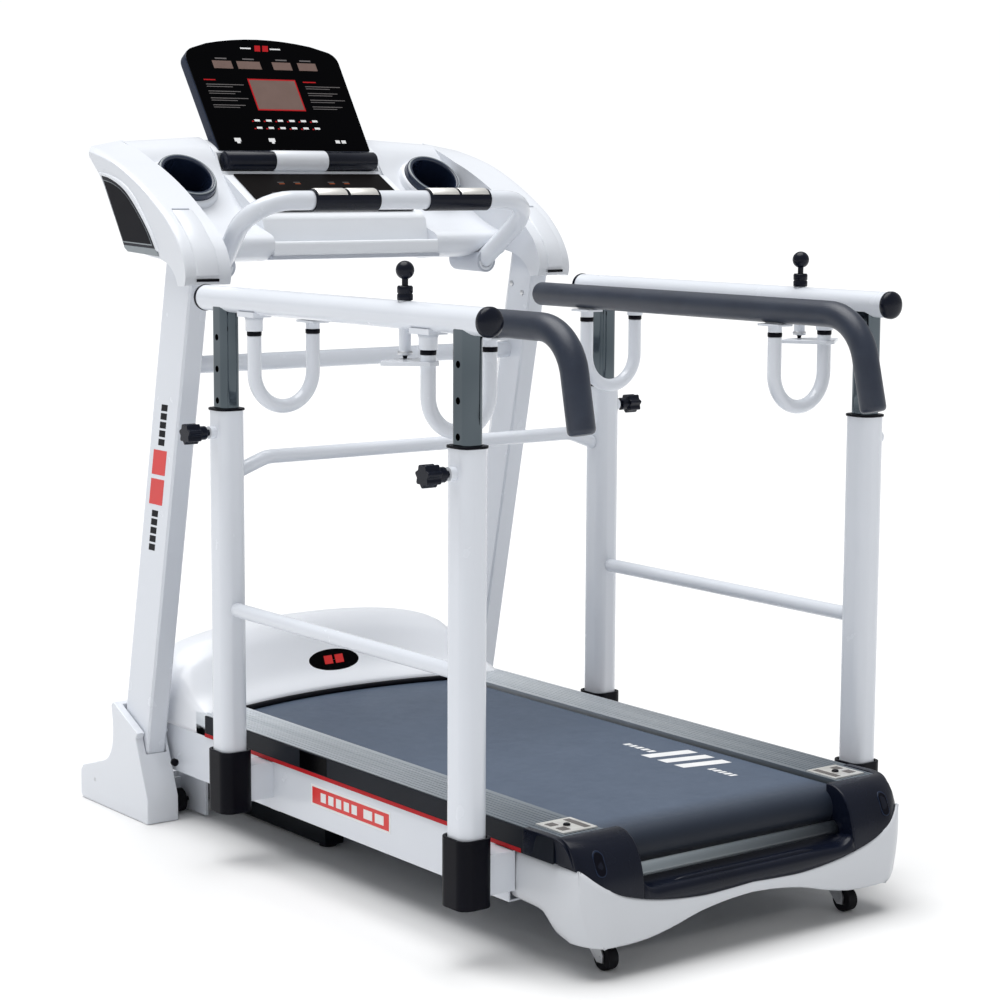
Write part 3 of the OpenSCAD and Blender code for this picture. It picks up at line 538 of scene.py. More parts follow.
def bent_path(points, bend, steps=10):
    """Points along a bent tube's centre line, as (centre, direction)."""
    vectors = [Vector(p) for p in points]
    path = [(vectors[0], (vectors[1] - vectors[0]).normalized())]
    for before, corner, after in zip(vectors, vectors[1:], vectors[2:]):
        d1, d2 = (corner - before).normalized(), (after - corner).normalized()
        angle = d1.angle(d2)
        centre = corner + (d2 - d1).normalized() * bend / math.cos(angle / 2)
        u = (corner - d1 * bend * math.tan(angle / 2) - centre).normalized()
        for k in range(steps + 1):
            t = angle * k / steps
            point = centre + bend * (u * math.cos(t) + d1 * math.sin(t))
            path.append((point, d1 * math.cos(t) - u * math.sin(t)))
    path.append((vectors[-1], (vectors[-1] - vectors[-2]).normalized()))
    return path


def box_faces(vertices, faces, corners8):
    start = len(vertices)
    vertices += corners8
    for face in ((0, 3, 2, 1), (4, 5, 6, 7), (0, 1, 5, 4), (1, 2, 6, 5), (2, 3, 7, 6), (3, 0, 4, 7)):
        faces.append([start + i for i in face])


def marks(name, boxes, place, material, body, height=0.5, foot=-0.05):
    """Flat printed marks as thin plates: each is (u0, v0, u1, v1[, slant])."""
    vertices, faces = [], []
    for mark in boxes:
        u0, v0, u1, v1 = mark[:4]
        slant = mark[4] if len(mark) > 4 else 0
        ring = [(u0, v0), (u1, v0), (u1 + slant, v1), (u0 + slant, v1)]
        box_faces(vertices, faces, [place(u, v, h) for h in (foot, height) for u, v in ring])
    return mesh_piece(name, vertices, faces, material, body, smooth=False)


# ---------------------------------------------------------------- console

TILT = math.radians(56.4)
CONSOLE_HALF = 430
TRAY_HALF = 184
BAR_PLACE = (772, 1232)  # y and z of the bar below the display


def board(x, s, n):
    """A point on the display board: s up the board, n out of its face."""
    return at(x, 785 + s * math.cos(TILT) - n * math.sin(TILT),
              1253 + s * math.sin(TILT) + n * math.cos(TILT))


PANEL_SLOPE = math.atan2(70, 126)


def key_face(x, s, n):
    """A point on the key panel's top face."""
    n = n + 3
    return at(x, 626 + s * math.cos(PANEL_SLOPE) - n * math.sin(PANEL_SLOPE),
              1138.2 + s * math.sin(PANEL_SLOPE) + n * math.cos(PANEL_SLOPE))


wing_outline = smoothed([
    (475, 1015), (471, 1030), (474, 1052), (488, 1080), (527, 1123), (593, 1167), (663, 1203), (734, 1231),
    (795, 1247), (815, 1249), (815, 1240), (774, 1200), (730, 1134), (690, 1076), (676, 1068), (560, 1060),
    (528, 1050), (508, 1032), (498, 1013)], sharp=(0, 9, 10, 13, 14, 18))
shoulder_outline = smoothed([
    (594, 1051), (578, 1060), (569, 1078), (574, 1092), (600, 1103), (640, 1118), (683, 1142), (722, 1175),
    (761, 1213), (796, 1249), (815, 1260), (846, 1266), (864, 1258), (873, 1230), (872, 1192), (850, 1122),
    (792, 1070), (700, 1052)], sharp=())
centre_outline = smoothed([
    (588, 1050), (576, 1052), (571, 1060), (569, 1079), (571, 1083.5), (575, 1084.5), (578, 1082),
    (579, 1068), (584, 1066), (594, 1066), (599, 1070), (611, 1122), (622, 1134.5), (748, 1205),
    (762, 1206), (786, 1249), (800, 1259), (846, 1272), (864, 1264), (873, 1230), (872, 1192), (850, 1122),
    (792, 1070), (700, 1050)],
    sharp=(0, 3, 6, 7, 8, 9, 10, 11, 12, 13, 14, 15))


def wing_place(u, v, w):
    """Outline in (y, z) at x = w: the arm's far corner is round in plan, its near end reaches out inwards."""
    inward = CONSOLE_HALF - abs(w)
    corner = math.sqrt(max(0.0, 30**2 - (30 - min(inward, 30)) ** 2)) + 5 * share(inward, 30, 85)
    back, ahead = share(u, 735, 815), share(u, 545, 490)
    side = 5 * (1 - math.sqrt(1 - (1 - share(inward, 0, 12)) ** 2)) if inward < 12 else 0
    top = share(v - (u - 500) * 0.55, 1000, 1060)
    rise = 9 * share(inward, 0, 16) + 12 * share(inward, 16, 85)
    y = u + back * corner - ahead * 14 * share(inward, 0, 85)
    return at(w, y, v + back * rise - side * top)


def shoulder_place(u, v, w):
    """The crest behind the cups rises towards the middle."""
    return at(w, u, v + 11 * share(u, 761, 846) * share(abs(w), CONSOLE_HALF - 60, TRAY_HALF))


def cup_axis():
    tilt = math.radians(41.6)
    return Vector((0, -math.sin(tilt), math.cos(tilt)))


def cup_place(sign):
    return at(sign * CUP_PLACE[0], *CUP_PLACE[1:])


def upright_y(z):
    """The near face of the leaning uprights at height z."""
    return 714 - 0.208 * z


def upright_cutter(sign, z0, z1, spare_x, spare_y):
    """The upright's own shape between two heights, a little wider and deeper."""
    x0, x1 = UPRIGHT_IN - spare_x, UPRIGHT_OUT + spare_x
    y0, y1 = -spare_y, UPRIGHT_DEPTH + spare_y
    ring = ((x0, y0), (x1, y0), (x1, y1), (x0, y1))
    points = [at(sign * x, upright_y(z) + y, z) for z in (z0, z1) for x, y in ring]
    vertices, faces = [], []
    box_faces(vertices, faces, points)
    return mesh_piece("cutter", vertices, faces, moulded, None)


def cylinder_cutter(start, axis, length, radius):
    return turned("cutter", start, axis, [(0, radius), (length, radius)], moulded, None, 64)


def handle_cutter(sign):
    """The handlebar's tube at its foot, a little thicker."""
    foot = at(sign * HANDLE_FOOT[0], *HANDLE_FOOT[1:])
    toward = (at(sign * HANDLE_BEND_X, HANDLE_Y, HANDLE_Z) - foot).normalized()
    return cylinder_cutter(foot - toward * 0.006, toward, 80, 17.9)


def console():
    """White skin: two wings, two shoulders with the cup wells cut out, and the centre channel."""
    skins = []
    for name, sign in SIDES:
        stations = [sign * (CONSOLE_HALF - inward) for inward in (0, 1, 3, 6, 9, 12, 16, 22, 30, 45, 65, 85)]
        wing = prism(f"console_wing_{name}", wing_outline, wing_place, stations, moulded, None)
        cut(wing, upright_cutter(sign, 950, 1069, 1.2, 1))
        round_edges(wing, 7, 4, 30)
        stations = [sign * x for x in (TRAY_HALF, 220, 255, 285, 320, 352)]
        shoulder = prism(f"console_shoulder_{name}", shoulder_outline, shoulder_place, stations, moulded,
                         None)
        well = cylinder_cutter(cup_place(sign) - cup_axis() * 0.076, cup_axis(), 120, 57.6)
        cut(shoulder, well, handle_cutter(sign))
        boss = turned(f"handle_socket_{name}", at(sign * HANDLE_FOOT[0], 562, 1041), ALONG_Y,
                      [(0, 17), (0.8, 19), (3, 20), (70, 20), (94, 15)], moulded, None, 48)
        cut(boss, handle_cutter(sign))
        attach(boss, "base")
        round_edges(shoulder, 6, 4, 30)
        skins += [wing, shoulder]
    overlap = TRAY_HALF + 0.5
    centre = prism("console_centre", centre_outline, side_place, (-overlap, overlap), tray_white_painted_lit, None)
    cut(centre, cylinder_cutter(at(-180, *BAR_PLACE), ALONG_X, 360, 20.3))
    round_edges(centre, 2.2, 3, 30)
    skins.append(centre)
    for skin in skins:
        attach(skin, "base")
    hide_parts("console_shell")


console()


def display_details():
    """Windows, printed marks and the white sleeve of the bar under the board."""
    small = ((-121, -78), (-66, -13), (15, 58), (74, 117))
    windows = [(-52, 95, 52, 163)] + [(x0, 189, x1, 207) for x0, x1 in small]
    marks("display_windows", windows, board, window, "base")
    border = [(-55, 92, 55, 95), (-55, 163, 55, 166), (-55, 95, -52, 163), (52, 95, 55, 163)]
    border += [(-154, 160, -128, 162.5), (72, 160, 102, 162.5), (-15, 232, -2, 246, 4), (3, 232, 16, 246, 4)]
    keys = [(26.5 * k, s) for s in (69, 52) for k in range(6)]
    border += [(-78 + x, s - 4, -74 + x, s - 1.5) for x, s in keys]
    marks("display_red_marks", border, board, red, "base")
    white = [(-72 + x, s - 3, -60 + x, s + 1.5) for x, s in keys]
    white += [(-132, 19, -118, 27), (-128, 15, -121, 19), (-55, 19, -41, 27), (-50, 15, -44, 19)]
    white += [(98, 17, 108, 24), (112, 17, 122, 24), (-46, 237, -22, 240), (22, 237, 46, 240)]
    marks("display_white_marks", white, board, print_white, "base")
    lines = []
    for x, width in ((-152, 84), (74, 82)):
        for block in range(4):
            top = 153 - block * 16
            lines.append((x, top - 3, x + width - 12 * (block % 2), top - 1.4))
            lines.append((x, top - 8, x + width - 26, top - 6.6))
    lines += [(x0, 211, x0 + 26, 214) for x0 in (-112, -50, 26, 82)]
    marks("display_print", lines, board, print_grey, "base", 0.4)
    turned("display_bar_sleeve", at(-64, *BAR_PLACE), ALONG_X,
           [(0, 18), (0, 20.0), (1, 20.4), (117, 20.4), (118, 20.0), (118, 18)], moulded, "base")
    bar = turned("display_bar_core", at(-172, *BAR_PLACE), ALONG_X,
                 [(0, 14), (0.8, 17), (3, 18.6), (341, 18.6), (343.2, 17), (344, 14)], navy, "base", 48)
    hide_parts("display_bar")
    upper, lower = (-80, -44, 34, 68), (-110, -62, 62, 110)
    amber = [(x - 6, 98, x + 6, 100.2) for x in upper] + [(x - 9, 58, x + 9, 60.2) for x in lower]
    marks("key_amber_marks", amber, key_face, print_amber, "base", 0.4)
    grey = [(x - 7, 104, x + 7, 105.8) for x in upper] + [(x - 10, 65, x + 10, 66.8) for x in lower]
    marks("key_grey_marks", grey + [(-12, 60, 12, 62)], key_face, print_grey, "base", 0.4)


display_details()


def cup_rims():
    """A deep dark ring round each cup, with a painted highlight: a bright line along its top edge."""
    ring = [(5.5, 46.6), (8.5, 46.9), (10.2, 48.5), (10.8, 51), (10.2, 54.5), (8.2, 57), (4.5, 58.2),
            (-10, 59), (-22, 59.6)]
    collar = [(-3, 59.5), (-4, 62.5), (-9, 65), (-20, 68)]
    # The bright line is a painted highlight on the ring's top edge.
    line = [(10.6, 52.2), (11.2, 53.0), (10.9, 54.6), (10.0, 55.4)]
    parts = (("rim", ring, rim_grey), ("line", line, strip_grey), ("collar", collar, moulded))
    a, b = frame_along(cup_axis())
    for name, sign in SIDES:
        for part, profile, material in parts:
            rows = []
            for n, r in profile:
                middle = cup_place(sign) + cup_axis() * (n / 1000)
                rows.append([middle + (a * math.cos(t) + b * math.sin(t)) * (r / 1000)
                             for t in turn_steps(64)])
            grid_piece(f"cup_{part}_{name}", rows, material, "base", closed_across=True)


cup_rims()


def handle_details():
    """Metal hand-pulse plates on top of the two black grips."""
    for name, sign in SIDES:
        for number, (x0, x1) in enumerate(((60, 121), (127, 190))):
            rows = []
            low, high = sorted((sign * x0, sign * x1))
            stops = [(low + inset, r) for inset, r in ((0, 20.4), (0.6, 21.6), (2, 22.0))]
            stops += [(high - inset, r) for inset, r in ((2, 22.0), (0.6, 21.6), (0, 20.4))]
            for x, r in stops:
                rows.append([at(x, HANDLE_Y - r * math.cos(t), HANDLE_Z + r * math.sin(t))
                             for t in (math.radians(28 + 104 * k / 20) for k in range(21))])
            plate = grid_piece(f"pulse_plate_{name}_{number}", rows, plate_metal, "base", thickness=0.8)


handle_details()


def arm_details():
    """Raised strip with a slot over it and a dark slot under it, on each console arm."""
    crease = [(470, 1031), (473, 1052), (487, 1081), (526, 1124), (552, 1143)]
    edges = ((368, -1), (369, 1.0), (371, 1.8), (407, 1.8), (409, 1.0), (410, -1))
    for name, sign in SIDES:
        def above(i, x, n, sign=sign):
            before, after = crease[max(i - 1, 0)], crease[min(i + 1, len(crease) - 1)]
            dy, dz = after[0] - before[0], after[1] - before[1]
            size = math.hypot(dy, dz)
            return wing_place(crease[i][0] - dz / size * n, crease[i][1] + dy / size * n, sign * x)

        rows = [[above(i, x, n) for x, n in edges] for i in range(len(crease))]
        grid_piece(f"arm_strip_{name}", rows, moulded, "base")
        dash = [[wing_place(y, z, sign * x) for x in (372, 406)]
                for y, z in ((556, 1143), (555.5, 1145.5), (558, 1147.5), (559, 1144.5))]
        grid_piece(f"arm_dash_{name}", dash, grey_moulding, "base")
        slot_rows = [[wing_place(y, z, sign * x) for x in (368, 410)] for y, z in
                     ((472, 1025), (469.6, 1025), (469.6, 1020.5), (472, 1020))]
        grid_piece(f"arm_slot_{name}", slot_rows, black, "base")


arm_details()

vent_outline = smoothed([
    (774, 1204), (738, 1198), (685, 1178), (638, 1144), (595, 1104), (572, 1075), (692, 1079)],
    sharp=(0, 5, 6))
VENT_CURVED = 26  # this many of its points lie on the curved edge


def vents():
    """Dark insert in the side of each arm: a frame, a pale line and a panel, with a white rib round it."""
    rib = ((0.5, 429), (0.8, 432.6), (2, 433.6), (6, 433.8), (9, 432.8), (11, 429))
    centre_y = sum(p[0] for p in vent_outline) / len(vent_outline)
    centre_z = sum(p[1] for p in vent_outline) / len(vent_outline)
    for name, sign in SIDES:
        def vent_layer(part, scale, reach, material, sign=sign, name=name):
            outline = [(centre_y + 4 + (y - centre_y) * scale, centre_z - 2 + (z - centre_z) * scale)
                       for y, z in vent_outline] if scale < 1 else vent_outline
            depth = (sign * 427, sign * reach)
            layer = prism(f"vent_{part}_{name}", outline, side_place, depth, material, "base", 0.4)
            return layer
        frame_layer = vent_layer("frame", 1.0, 431.2, navy)
        vent_layer("line", 0.90, 431.7, strip_grey)
        vent_layer("panel", 0.87, 432.1, black)
        if sign < 0:
            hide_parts("side_vents")
        rows = []
        for y, z in vent_outline[:VENT_CURVED]:
            dy, dz = y - centre_y - 20, z - centre_z + 20
            size = math.hypot(dy, dz)
            rows.append([at(sign * x, y + dy / size * out, z + dz / size * out) for out, x in rib])
        grid_piece(f"vent_rib_{name}", rows, moulded, "base")
        strip = [(572, 1075.5), (692, 1079.5), (690, 1074.5), (678, 1067.5), (562, 1062)]
        depth = (sign * 426, sign * 431.4)
        prism(f"vent_strip_{name}", strip, side_place, depth, strip_grey, "base", 0.8)


vents()

# ---------------------------------------------------------------- uprights and feet

foot_outline = smoothed([
    (655, 0.5), (914, 0.5), (921, 8), (920, 56), (911, 66), (850, 84), (812, 98), (794, 120), (787, 150),
    (788, 180), (792, 206), (785, 213), (690, 168), (697, 158), (655, 48)],
    sharp=(0, 1, 2, 3, 4, 10, 11, 12, 13, 14))


def foot_covers():
    for name, sign in SIDES:
        cover = prism(f"foot_shell_{name}", foot_outline, side_place, (sign * 354, sign * 420), moulded, None)
        cut(cover, upright_cutter(sign, 96, 300, 1.5, 1.5))
        round_edges(cover, 3.6, 3, 28)
        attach(cover, "base")
        if sign < 0:
            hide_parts("foot_covers")
        turned(f"foot_screw_{name}", at(sign * 419.6, 862, 46), Vector((sign, 0, 0)),
               [(0, 3.6), (0.9, 3.4), (1.1, 2.4), (0.2, 1.6)], zinc, "base", 20)
        turned(f"foot_plug_{name}", at(sign * 360, 657, 112), -ALONG_Y,
               [(-3, 7), (4, 7), (5.5, 5), (6, 2)], black, "base", 24)


foot_covers()


def upright_details():
    """Generic stripe on the outer faces, bolts on the inner faces."""
    for name, sign in SIDES:
        def face(u, v, n, sign=sign):
            return at(sign * (UPRIGHT_OUT + n), upright_y(v) + u, v)

        bars = [(40, z, 62, z + 12) for z in (519, 535, 551, 567, 583, 717, 733, 749, 765, 781)]
        marks(f"upright_bars_{name}", bars, face, black, "base", 0.3)
        bars = [(28, 606, 76, 654), (28, 662, 76, 708)]
        marks(f"upright_red_bars_{name}", bars, face, label_red, "base", 0.35)
        for z, y in ((995, 567), (978, 534)):
            turned(f"upright_bolt_{name}_{z}", at(sign * 362.2, y, z), Vector((-sign, 0, 0)),
                   [(0, 5.5), (1.6, 5.2), (2.4, 4.0), (2.5, 1.5)], zinc, "base", 24)


upright_details()

# ---------------------------------------------------------------- hood

HOOD_TOP = [(0, 219.6), (0.035, 228), (0.17, 250), (0.31, 287), (0.42, 318), (0.55, 340), (0.68, 341),
            (0.84, 323), (0.95, 283), (1.0, 240)]
HOOD_FRONT = 866
HOOD_HALF = 345
HOOD_ROUND = 2.3  # how square the hood's cross-section is
HOOD_FOOT = 177.2


def table_value(table, t):
    """A smooth curve through (t, value) pairs."""
    for i in range(len(table) - 1):
        if t <= table[i + 1][0] or i == len(table) - 2:
            (t0, v0), (t1, v1) = table[i], table[i + 1]
            before = table[i - 1] if i else table[i]
            after = table[i + 2] if i + 2 < len(table) else table[i + 1]
            m0 = (v1 - before[1]) / (t1 - before[0]) if t1 != before[0] else 0
            m1 = (after[1] - v0) / (after[0] - t0) if after[0] != t0 else 0
            span = t1 - t0
            q = min(max((t - t0) / span, 0), 1)
            return ((2 * q**3 - 3 * q**2 + 1) * v0 + (q**3 - 2 * q**2 + q) * span * m0
                    + (3 * q**2 - 2 * q**3) * v1 + (q**3 - q**2) * span * m1)
    return table[-1][1]


def hood_edge(x):
    """How far back the hood's lip reaches at x."""
    across = abs(x)
    return 617 - 37 * (across / 246) ** 2 if across < 246 else 580 - 12 * (across - 246) / 99


def hood_fill(t, v):
    """The hood's height at t across from its middle, as a share of its height there."""
    return max(0.0, 1 - abs(t) ** HOOD_ROUND) ** (1 / hood_power(v))


def hood_power(v):
    return 14 - 9 * min(1, v / 0.45)


def hood_point(x, t, v, lift=0.0):
    top = HOOD_FOOT + (table_value(HOOD_TOP, v) - HOOD_FOOT) * hood_fill(t, v)
    return at(x, hood_edge(x) + v * (HOOD_FRONT - hood_edge(x)), top + lift)


def hood():
    rows = []
    for i in range(33):
        v = i / 32
        power = hood_power(v)
        halves = [0.95 * j / 14 for j in range(15)]
        turn = (1 - 0.95**HOOD_ROUND) ** (1 / power)
        halves += [(1 - (turn * (1 - k / 9)) ** power) ** (1 / HOOD_ROUND) for k in range(1, 10)]
        rows.append([hood_point(t * HOOD_HALF, t, v) for t in [-h for h in halves[:0:-1]] + halves])
    rows.append([Vector((p.x, p.y + 0.002, HOOD_FOOT / 1000)) for p in rows[-1]])
    skin = grid_piece("hood_skin", rows, hood_white_painted_lit, "deck", thickness=3.5)
    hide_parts("motor_hood")
    # A black band along the hood's edge: partly the real lip, partly painted shadow under the hood's edge.
    lip = []
    for k in range(41):
        x = -252 + 504 * k / 40
        y = hood_edge(x)
        ring = ((-7, 211.6), (-7.5, 214.5), (-5, 218.6), (1, 220.2), (7, 219.4), (7, 212))
        lip.append([at(x, y + dy, z) for dy, z in ring])
    grid_piece("hood_lip_and_painted_shadow", lip, black, "deck", closed_across=True)

    def on_hood(dx, dy, lift):
        x, y = 7 + dx, 671 + dy
        v = (y - hood_edge(x)) / (HOOD_FRONT - hood_edge(x))
        return hood_point(x, x / HOOD_HALF, v, lift)

    rings = [(0.02, 1.5), (0.35, 1.5), (0.7, 1.5), (0.94, 1.5), (1.0, 1.0), (1.03, -0.5)]
    rows = [[on_hood(56 * r * math.cos(t), 17 * r * math.sin(t), lift) for t in turn_steps(48)]
            for r, lift in rings]
    grid_piece("hood_badge", rows, panel_black, "deck", closed_across=True)
    bars = [(-24, -6, -5, 7, 4), (1, -6, 20, 7, 4)]
    marks("hood_badge_mark", bars, lambda u, v, n: on_hood(u, v, 1.6 + n), label_red, "deck")


hood()

# ---------------------------------------------------------------- rear cover and bezel

REAR_Y = -548
SHELL_HALF = 343
CORNER_X = 301  # where the rear face starts to bow forwards
CORNER_Y = -506  # where the foot line starts to turn round the corner
BOW = 18  # how far forward the rear face's ends are
TOP_LINE = [(0, 107), (55, 104.6), (110, 104), (194, 113), (264, 130), (300, 147), (320, 160), (338, 174),
            (343, 176)]
SHELL_FOOT = [(0, 89), (50, 86), (111, 77), (160, 64), (213, 54), (260, 51.5), (301, 53)]
SIDE_FOOT = [(0, 60), (16, 64), (34, 69), (52, 82), (67, 94), (106, 98), (144, 100)]


def bow(x):
    """How far the rear face is forward of its middle at x."""
    return BOW * (max(0, abs(x) - CORNER_X) / (SHELL_HALF - CORNER_X)) ** 2


def curve(a, b, c, t):
    """A point on a quadratic curve from a to c that leaves a towards b."""
    return [(1 - t) ** 2 * p + 2 * t * (1 - t) * q + t * t * r for p, q, r in zip(a, b, c)]


def rear_plan(level):
    """Points and outward directions round the cover, left to right; level is 0 at its foot, 1 at its top.

    The side face ends in a crease, which wraps inwards from the rear face's end at the top to the foot."""
    slip = (1 - level) ** 2.2
    crease = (-SHELL_HALF + 39 * slip, REAR_Y + BOW * (1 - slip))
    side_stops = (-362, -381, -400, -415, -425, -439, -450, -460, -471, -484, -496)
    points = [(-SHELL_HALF, y, -1, 0) for y in side_stops]
    side = [curve((-SHELL_HALF, CORNER_Y), (-SHELL_HALF, crease[1] + 16 * slip), crease, t)
            for t in (0, 0.25, 0.5, 0.75, 0.9, 1)]
    control = ((crease[0] - CORNER_X) / 2, REAR_Y)
    rear = [curve(crease, control, (-CORNER_X, REAR_Y), t) for t in (0.12, 0.3, 0.5, 0.75, 1)]
    for k, (x, y) in enumerate(side + rear):
        angle = math.radians(9 * k)
        points.append((x, y, -math.cos(angle), -math.sin(angle)))
    points += [(-CORNER_X + 2 * CORNER_X * k / 28, REAR_Y, 0, -1) for k in range(1, 14)]
    return points + [(0, REAR_Y, 0, -1)] + [(-x, y, -nx, ny) for x, y, nx, ny in reversed(points)]


def shell_foot(x, y):
    if y > CORNER_Y - 1:
        return table_value(SIDE_FOOT, y - CORNER_Y)
    across = abs(x)
    if across <= CORNER_X:
        return table_value(SHELL_FOOT, across)
    return 53 + 7 * ((across - CORNER_X) / (SHELL_HALF - CORNER_X)) ** 1.5


HEM = -12  # how far the cover's foot is folded in


def rear_cover():
    rows = []
    foot_plan, top_plan = rear_plan(0), rear_plan(1)
    levels = [(0.02, HEM), (0.0, -7), (0.0, -2.5), (0.05, -0.8)]
    levels += [(k / 10, 0) for k in range(1, 10)] + [(1.0, -1.2), (1.0, -4)]
    for t, inset in levels:
        row = []
        for (x, y, nx, ny), foot, top in zip(rear_plan(t), foot_plan, top_plan):
            low, high = shell_foot(foot[0], foot[1]), table_value(TOP_LINE, abs(top[0]))
            out = 2.6 * math.sin(math.pi * t) - 2.6 + inset
            row.append(at(x + nx * out, y + ny * out, low + (high - low) * t + (0.6 if inset == HEM else 0)))
        rows.append(row)
    shell = grid_piece("rear_cover", rows, rear_white_painted_shade, "deck", thickness=2.5)
    shell.modifiers["solid"].use_even_offset = False
    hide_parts("rear_shell")


rear_cover()

CAP_FRONT = -478.4
CAP_PROFILE = [(1.0, 218.6), (0.9, 218.6), (0.78, 218), (0.62, 214.5), (0.45, 207.5), (0.28, 195),
               (0.15, 178), (0.06, 158), (0.015, 140), (0.0, 126), (0.0, 100)]


def cap_share(z):
    """How far forward of the rear edge a corner cap's face is at height z."""
    for (s0, z0), (s1, z1) in zip(CAP_PROFILE[1:], CAP_PROFILE[2:]):
        if z1 <= z <= z0:
            return s1 + (s0 - s1) * (z - z1) / max(z0 - z1, 1e-6)
    return 0.0


def cap_column(x, rear, foot, count=18):
    """Points down a corner cap at x, from its top edge to its foot."""
    line = [(rear + part * (CAP_FRONT - rear), z) for part, z in CAP_PROFILE]
    kept = [line[0]]
    for (y0, z0), (y1, z1) in zip(line, line[1:]):
        if z1 < foot:
            t = (z0 - foot) / max(z0 - z1, 1e-6)
            kept.append((y0 + (y1 - y0) * t, foot))
            break
        kept.append((y1, z1))
    lengths = [0.0]
    for a, b in zip(kept, kept[1:]):
        lengths.append(lengths[-1] + math.dist(a, b))
    out = []
    for k in range(count):
        goal = lengths[-1] * k / (count - 1)
        i = max(j for j in range(len(lengths)) if lengths[j] <= goal + 1e-9)
        i = min(i, len(kept) - 2)
        t = (goal - lengths[i]) / max(lengths[i + 1] - lengths[i], 1e-9)
        out.append([p + (q - p) * t for p, q in zip(kept[i], kept[i + 1])])
    return [at(x, y, z) for y, z in out]


def bezel():
    half, rear = 341, REAR_Y + 2.4
    stops = (223, 226, 234, 248, 262, 276, 290, 301, 309, 317, 325, 333, half)
    main = None
    for name, sign in SIDES:
        stations = [(x, rear + bow(x)) for x in stops]
        columns = [cap_column(sign * x, y + (1.2 if x == stops[0] else 0), table_value(TOP_LINE, x) - 0.5)
                   for x, y in stations]
        vertices = [p for column in columns for p in column]
        count = len(columns[0])
        faces = quads(len(columns), count, False)
        inner_corner = len(vertices)
        vertices += [at(sign * stops[0], CAP_FRONT, 112), at(sign * half, CAP_FRONT, 175.5)]
        faces.append(list(range(count)) + [inner_corner])
        last = (len(columns) - 1) * count
        faces.append(list(range(last, last + count)) + [inner_corner + 1])
        cap = mesh_piece(f"bezel_cap_{name}", vertices, faces, navy, "deck")
        round_edges(cap, 2.5, 3, 50)
        main = main or cap

        def slot_place(u, v, w, sign=sign):
            return at(sign * u, rear + cap_share(v) * (CAP_FRONT - rear) + bow(u) - w, v)

        for part, size, reach, material in (("rim", 10, 1.0, edge_blue), ("hole", 8, 1.4, black)):
            oval = [(303 + size * math.cos(a), 183 + size * math.sin(a) + math.copysign(9, math.sin(a)))
                    for a in (math.tau * (k + 0.5) / 24 for k in range(24))]
            prism(f"bezel_slot_{part}_{name}", oval, slot_place, (-3, reach), material, "deck", 0.3)

        def side_band(u, v, w, sign=sign):
            return at(w - sign * 9 * share(-u, 470, 517), u, v)

        side_outline = smoothed([
            (-403, 218.6), (-403, 177.5), (-517, 177.5), (-512, 190), (-503, 204), (-495, 212.5),
            (-485, 217.2), (-476, 218.8)], sharp=(0, 1, 2))
        depth = (sign * 336, sign * 350.6)
        prism(f"bezel_side_{name}", side_outline, side_band, depth, navy, "deck", 1.6)
    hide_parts("rear_bezel")
    columns = []
    for k in range(61):
        x = -224 + 448 * k / 60
        end = 14 * max(0.0, (abs(x) - 196) / 28) ** 2
        line = [(-508, 150), (-510, 141), (-514, 134.5 + end * 0.6), (-522, 131.5 + end * 0.8),
                (-533, 131 + end), (-539, 130.5 + end), (-543, 128 + end * 0.9), (-545, 124 + end * 0.6),
                (-545.8, 118), (-545.8, table_value(TOP_LINE, abs(x)) - 0.5)]
        columns.append([at(x, y, z) for y, z in line])
    grid_piece("bezel_bar", columns, navy, "deck", thickness=2.0)
    band = ((-501, 162), (-505, 162.5), (-511, 157), (-514, 150), (-514.5, 144), (-511, 142))
    strip = [[at(-217 + 434 * k / 30, y, z) for y, z in band] for k in range(31)]
    # The strip's light left end is a painted reflection.
    grid_piece("bezel_strip", strip, painted_reflection, "deck", thickness=1.0)
    rib = []
    for k in range(31):
        t = k / 30
        size = min(1.0, 12 * min(t, 1 - t)) ** 0.5 if 0 < t < 1 else 0.02
        rib.append([at(-150 + 300 * t, -527 + 6.5 * size * math.cos(a), 131 + 4.5 * size * math.sin(a))
                    for a in turn_steps(16)])
    grid_piece("bezel_rib", rib, navy, "deck", closed_across=True)


bezel()

# ---------------------------------------------------------------- deck details


